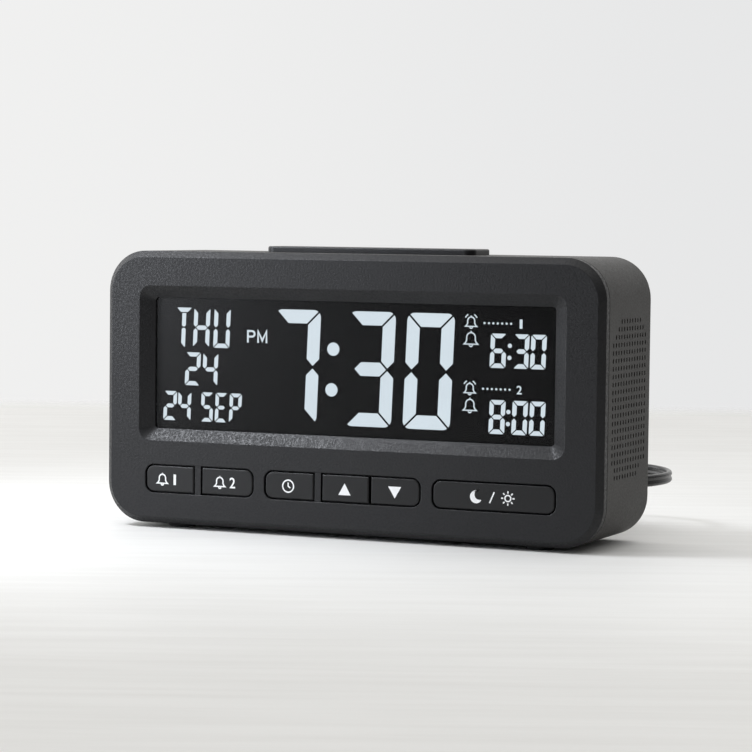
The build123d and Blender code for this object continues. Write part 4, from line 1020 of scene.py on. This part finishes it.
blackBezel = (0.0042, 0.0043, 0.0056)
warmBlack = (0.0090, 0.0076, 0.0060)
blackKey = (0.0036, 0.0037, 0.0045)
nickel = (0.66, 0.64, 0.60)
redWire, blackWire = (0.34, 0.012, 0.012), (0.012, 0.012, 0.012)
slotPaints = {
    "bezel_plastic": mouldedPlastic("bezelPlastic", blackBezel, 0.5, grain=1450, depth=0.00008, sheen=0.84,
                                    sparkle=0.22),
    "housing_plastic": mouldedPlastic("housingPlastic", warmBlack, 0.52, grain=1600, depth=0.00004, sheen=0.88,
                                      sparkle=0.1),
    "door_plastic": mouldedPlastic("doorPlastic", warmBlack, 0.52, grain=2200),
    "key_plastic": mouldedPlastic("keyPlastic", blackKey, 0.42, grain=3200, depth=0.000007, sheen=0.84),
    "bar_plastic": mouldedPlastic("barPlastic", blackBezel, 0.44, grain=2800),
    "plunger_plastic": mouldedPlastic("plungerPlastic", (0.05, 0.038, 0.032), 0.4, grain=1500),
    "frame_plastic": mouldedPlastic("framePlastic", (0.80, 0.80, 0.78), 0.45, grain=1200, depth=0.000006),
    "window_clear": clearWindow("windowClear", screenLook),
    "lcd_glass": displayGlass("displayGlass", screenLook),
    "guide_clear": dottedGuide("dottedGuide"),
    "tape_black": foamTape("foamTape"),
    "board_green": circuitBoard("circuitBoard"),
    "led_white": bandedPart("lampPackage", (0, 0, 1), (), ((0.86, 0.8, 0.5),), 0.3),
    "pin_metal": platedMetal("tinnedPins", (0.74, 0.72, 0.68), 0.34),
    "chip_black": mouldedPlastic("chipEpoxy", (0.02, 0.02, 0.021), 0.55, grain=4200),
    "crystal_can": platedMetal("crystalCan", (0.72, 0.72, 0.7), 0.3, (1, 6, 6)),
    "capacitor_sleeve": bandedPart("capacitorSleeve", (0, 1, 0), (0.0075,), ((0.02, 0.03, 0.1), (0.7, 0.7, 0.7)),
                                   0.28, (0, 1)),
    "socket_white": mouldedPlastic("socketNylon", (0.8, 0.78, 0.68), 0.4, grain=900, depth=0.000006),
    "switch_body": bandedPart("switchBody", (0, 1, 0), (), ((0.03, 0.03, 0.03),), 0.45),
    "screw_steel": platedMetal("zincScrew", nickel, 0.34),
    "foot_rubber": softRubber("footRubber", (0.028, 0.028, 0.028), 0.75),
    "spring_steel": platedMetal("springWire", nickel, 0.26, (1, 1, 1), 2200),
    "contact_steel": platedMetal("contactStrip", (0.7, 0.69, 0.66), 0.28, (6, 1, 1)),
    "mesh_fabric": wovenMesh("dustMesh", 12000),  # a thread each half millimetre
    "basket_steel": platedMetal("basketSteel", (0.56, 0.55, 0.5), 0.36),
    "magnet_steel": platedMetal("magnetCan", (0.46, 0.46, 0.46), 0.32),
    "cone_film": coneFilm("coneFilm", (0, 0.0015, 0.0462), 5200),  # a ring each 1.2 mm
    "coil_copper": woundCopper("woundCopper", 18000),  # a turn each third of a millimetre
    "cell_sleeve": cellSleeve("cellSleeve", cellLook),
    "relief_rubber": softRubber("bootRubber", (0.014, 0.014, 0.015), 0.42, 1800, 0.00001),
    "cord_jacket": glossyJacket("leadJacket", (0.008, 0.008, 0.0085)),
    "tie_wire": glossyJacket("tieSleeve", (0.02, 0.02, 0.02), 0.4),
    "plug_plastic": softRubber("plugGrip", (0.012, 0.012, 0.013), 0.4, 1800, 0.00001),
    "plug_metal": platedMetal("plugShell", (0.72, 0.72, 0.72), 0.24, (1, 8, 1)),
    "tongue_plastic": mouldedPlastic("plugTongue", (0.84, 0.84, 0.82), 0.35, grain=900, depth=0.000005),
}
wirePaints = {
    # each pair is one node, and its two wires lie either side of an edge
    "power_wires": bandedPart("powerWires", (1, 0, 0), (0.008,), (redWire, blackWire), 0.32),
    "speaker_wires": bandedPart("speakerWires", (0, 1, 0), (0.0015,), (redWire, blackWire), 0.32),
    "battery_wires": bandedPart("batteryWires", (0, 0, 1), (0.0466,), (blackWire, redWire), 0.32),
}


def dressNodes():
    for part in frame["record"]["subparts"]:
        paint = wirePaints.get(part["node"]) or slotPaints[part["material_slot"]]
        for place in frame["nodes"][part["node"]].material_slots:
            place.material = paint


def makeBarSprings():
    # a copy of the two springs under the snooze bar, as a piece of their own
    springs = bpy.data.objects.new("snooze_bar_springs", frame["nodes"]["snooze_springs"].data.copy())
    springs.data.materials.clear()
    bpy.context.scene.collection.objects.link(springs)
    return springs


def setPiece(piece, body, slot, paint, *nodes):
    piece.data.materials.append(paint)
    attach(piece, body)
    if nodes:
        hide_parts(*nodes)


dressNodes()
setPiece(powerLead, "clock", "cord_jacket", slotPaints["cord_jacket"], "power_lead", "lead_coil", "lead_tail")
setPiece(leadBoot, "clock", "relief_rubber", slotPaints["relief_rubber"], "strain_relief")
setPiece(plugGrip, "clock", "plug_plastic", slotPaints["plug_plastic"], "plug_grip")
setPiece(plugContacts, "clock", "pin_metal", platedMetal("goldContacts", (0.85, 0.62, 0.28), 0.25))
segmentPaint = litSegment("litSegment", screenLook)
for displayPiece in displayPieces:
    setPiece(displayPiece, "clock", "lcd_glass", segmentPaint)
inkPaint = printedInk("keyInk", (0.93, 0.94, 0.95))
for key, sign in keySigns.items():
    setPiece(sign, f"{key}_key", "key_plastic", inkPaint)
barSprings = makeBarSprings()
setPiece(barSprings, "clock", "spring_steel", slotPaints["spring_steel"], "snooze_springs")
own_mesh(barSprings)
setPiece(bayPiece, "clock", "housing_plastic", slotPaints["housing_plastic"])
setPiece(doorPiece, "door", "door_plastic", slotPaints["door_plastic"])
print("pieces dressed and riding")


# table: pale, whitewashed, with a soft far edge
tableLook = {
    "half": 8.0,
    "forward": (-0.40976, 0.91219, 0.0),  # the way that the far edge lies
    "streaks": (0.91219, 0.40976, 0.0),  # the way that the grain runs
    "stretch": 0.07,
    "grainScale": 130,
    "farEdge": (0.53, 0.62),  # fades out between these
    "nearEdge": (-0.45, -0.62),
    "mottleScale": 9,
    "mottleShare": 0.4,
    "pale": (0.815, 0.812, 0.795),
    "deep": (0.75, 0.745, 0.725),
    "rough": 0.62,
    "bump": 0.0003,
}


def makeTable(look):
    half = look["half"]
    corners = [(-half, -half, 0), (half, -half, 0), (half, half, 0), (-half, half, 0)]
    table = newPiece("table", corners, [(0, 1, 2, 3)])
    paint = Paint("tableTop")
    forward = paint.along(look["forward"])
    streaks = paint.along(look["streaks"]) * look["stretch"]
    lengthways = paint.add("ShaderNodeCombineXYZ", {}, [streaks, forward, 0.0])
    grain = paint.noise(look["grainScale"], 4.0, 0.6, lengthways)
    mottle = paint.noise(look["mottleScale"], 3.0)
    blend = grain * (1 - look["mottleShare"]) + mottle * look["mottleShare"]
    shade = paint.mix(blend.fade(0.3, 0.7), look["deep"], look["pale"])
    top = paint.shader({"Base Color": shade, "Roughness": look["rough"]}, grain, look["bump"])
    clear = forward.fade(*look["farEdge"]) + forward.fade(*look["nearEdge"])
    beyond = paint.add("ShaderNodeBsdfTransparent")
    table.data.materials.append(paint.finish(paint.add("ShaderNodeMixShader", {}, [clear, top, beyond])))


makeTable(tableLook)

# room: a pale wall behind and a ceiling, dark towards the camera's side
roomLight = {
    "base": 0.002,
    "colour": (1.0, 0.995, 0.985, 1.0),
    "glows": (
        # direction, strength, tightness
        ((-0.41, 0.91, 0.15), 0.975, 4.0),  # wall behind
        ((0.45, 0.89, 0.1), 0.54, 10.0),  # wall behind on the right
        ((0.0, 0.0, 1.0), 1.355, 1.6),  # ceiling
    ),
    "wall": ((0.800, 0.803, 0.806), (0.872, 0.872, 0.868)),  # right and left, as seen; painted lighter on the left, where more light falls on the wall
    "across": (-0.91219, -0.40976, 0.0),  # towards the left
    "spread": 0.15,  # of the change between the two
}
lamps = {
    # name: place, aim, size, spread in degrees, power, colour
    "windowSoftbox": ((-0.90, 0.10, 0.35), (0.0, 0.0, 0.05), (0.6, 0.6), 180, 2.51, (1.0, 1.0, 1.0)),
    "frontLeftSoftbox": ((-0.40, -0.36, 0.14), (-0.03, 0.0, 0.20), (0.2, 0.2), 75, 0.35, (0.90, 0.935, 1.0)),
    "overheadSoftbox": ((-0.24, -0.14, 0.36), (-0.03, 0.0, 0.03), (0.12, 0.12), 70, 0.195, (0.90, 0.935, 1.0)),
}


def makeRoom(light):
    world = bpy.data.worlds.new("room")
    bpy.context.scene.world = world
    world.use_nodes = True
    desk = Desk(world.node_tree)
    desk.place = desk.add("ShaderNodeTexCoord", output="Generated")
    level = light["base"]
    for direction, strength, tightness in light["glows"]:
        facing = desk.along(Vector(direction).normalized())
        level = level + facing.above(0.0) ** tightness * strength
    # the wall seen behind is painted lighter towards the left, where more light falls on it
    leftward = desk.along(light["across"]).fade(-light["spread"], light["spread"])
    wall = desk.add("ShaderNodeBackground", {}, [desk.mix(leftward, *light["wall"]), 1.0])
    lighting = desk.add("ShaderNodeBackground", {}, [light["colour"], level])
    direct = desk.add("ShaderNodeLightPath", output="Is Camera Ray")
    through = desk.add("ShaderNodeLightPath", output="Is Transmission Ray")
    both = desk.add("ShaderNodeMixShader", {}, [direct.above(through), lighting, wall])
    desk.add("ShaderNodeOutputWorld", {}, {"Surface": both})


def makeLamp(name, place, aim, size, spread, power, colour):
    data = bpy.data.lights.new(name, "AREA")
    data.shape = "RECTANGLE"
    data.size, data.size_y = size
    data.spread = math.radians(spread)
    data.energy = power
    data.color = colour
    lamp = bpy.data.objects.new(name, data)
    bpy.context.scene.collection.objects.link(lamp)
    lamp.location = place
    lamp.rotation_euler = (Vector(aim) - Vector(place)).to_track_quat("-Z", "Y").to_euler()


makeRoom(roomLight)
for lampName, lampSetup in lamps.items():
    makeLamp(lampName, *lampSetup)
bpy.context.scene.view_settings.view_transform = "Standard"
print("room and lamps set")
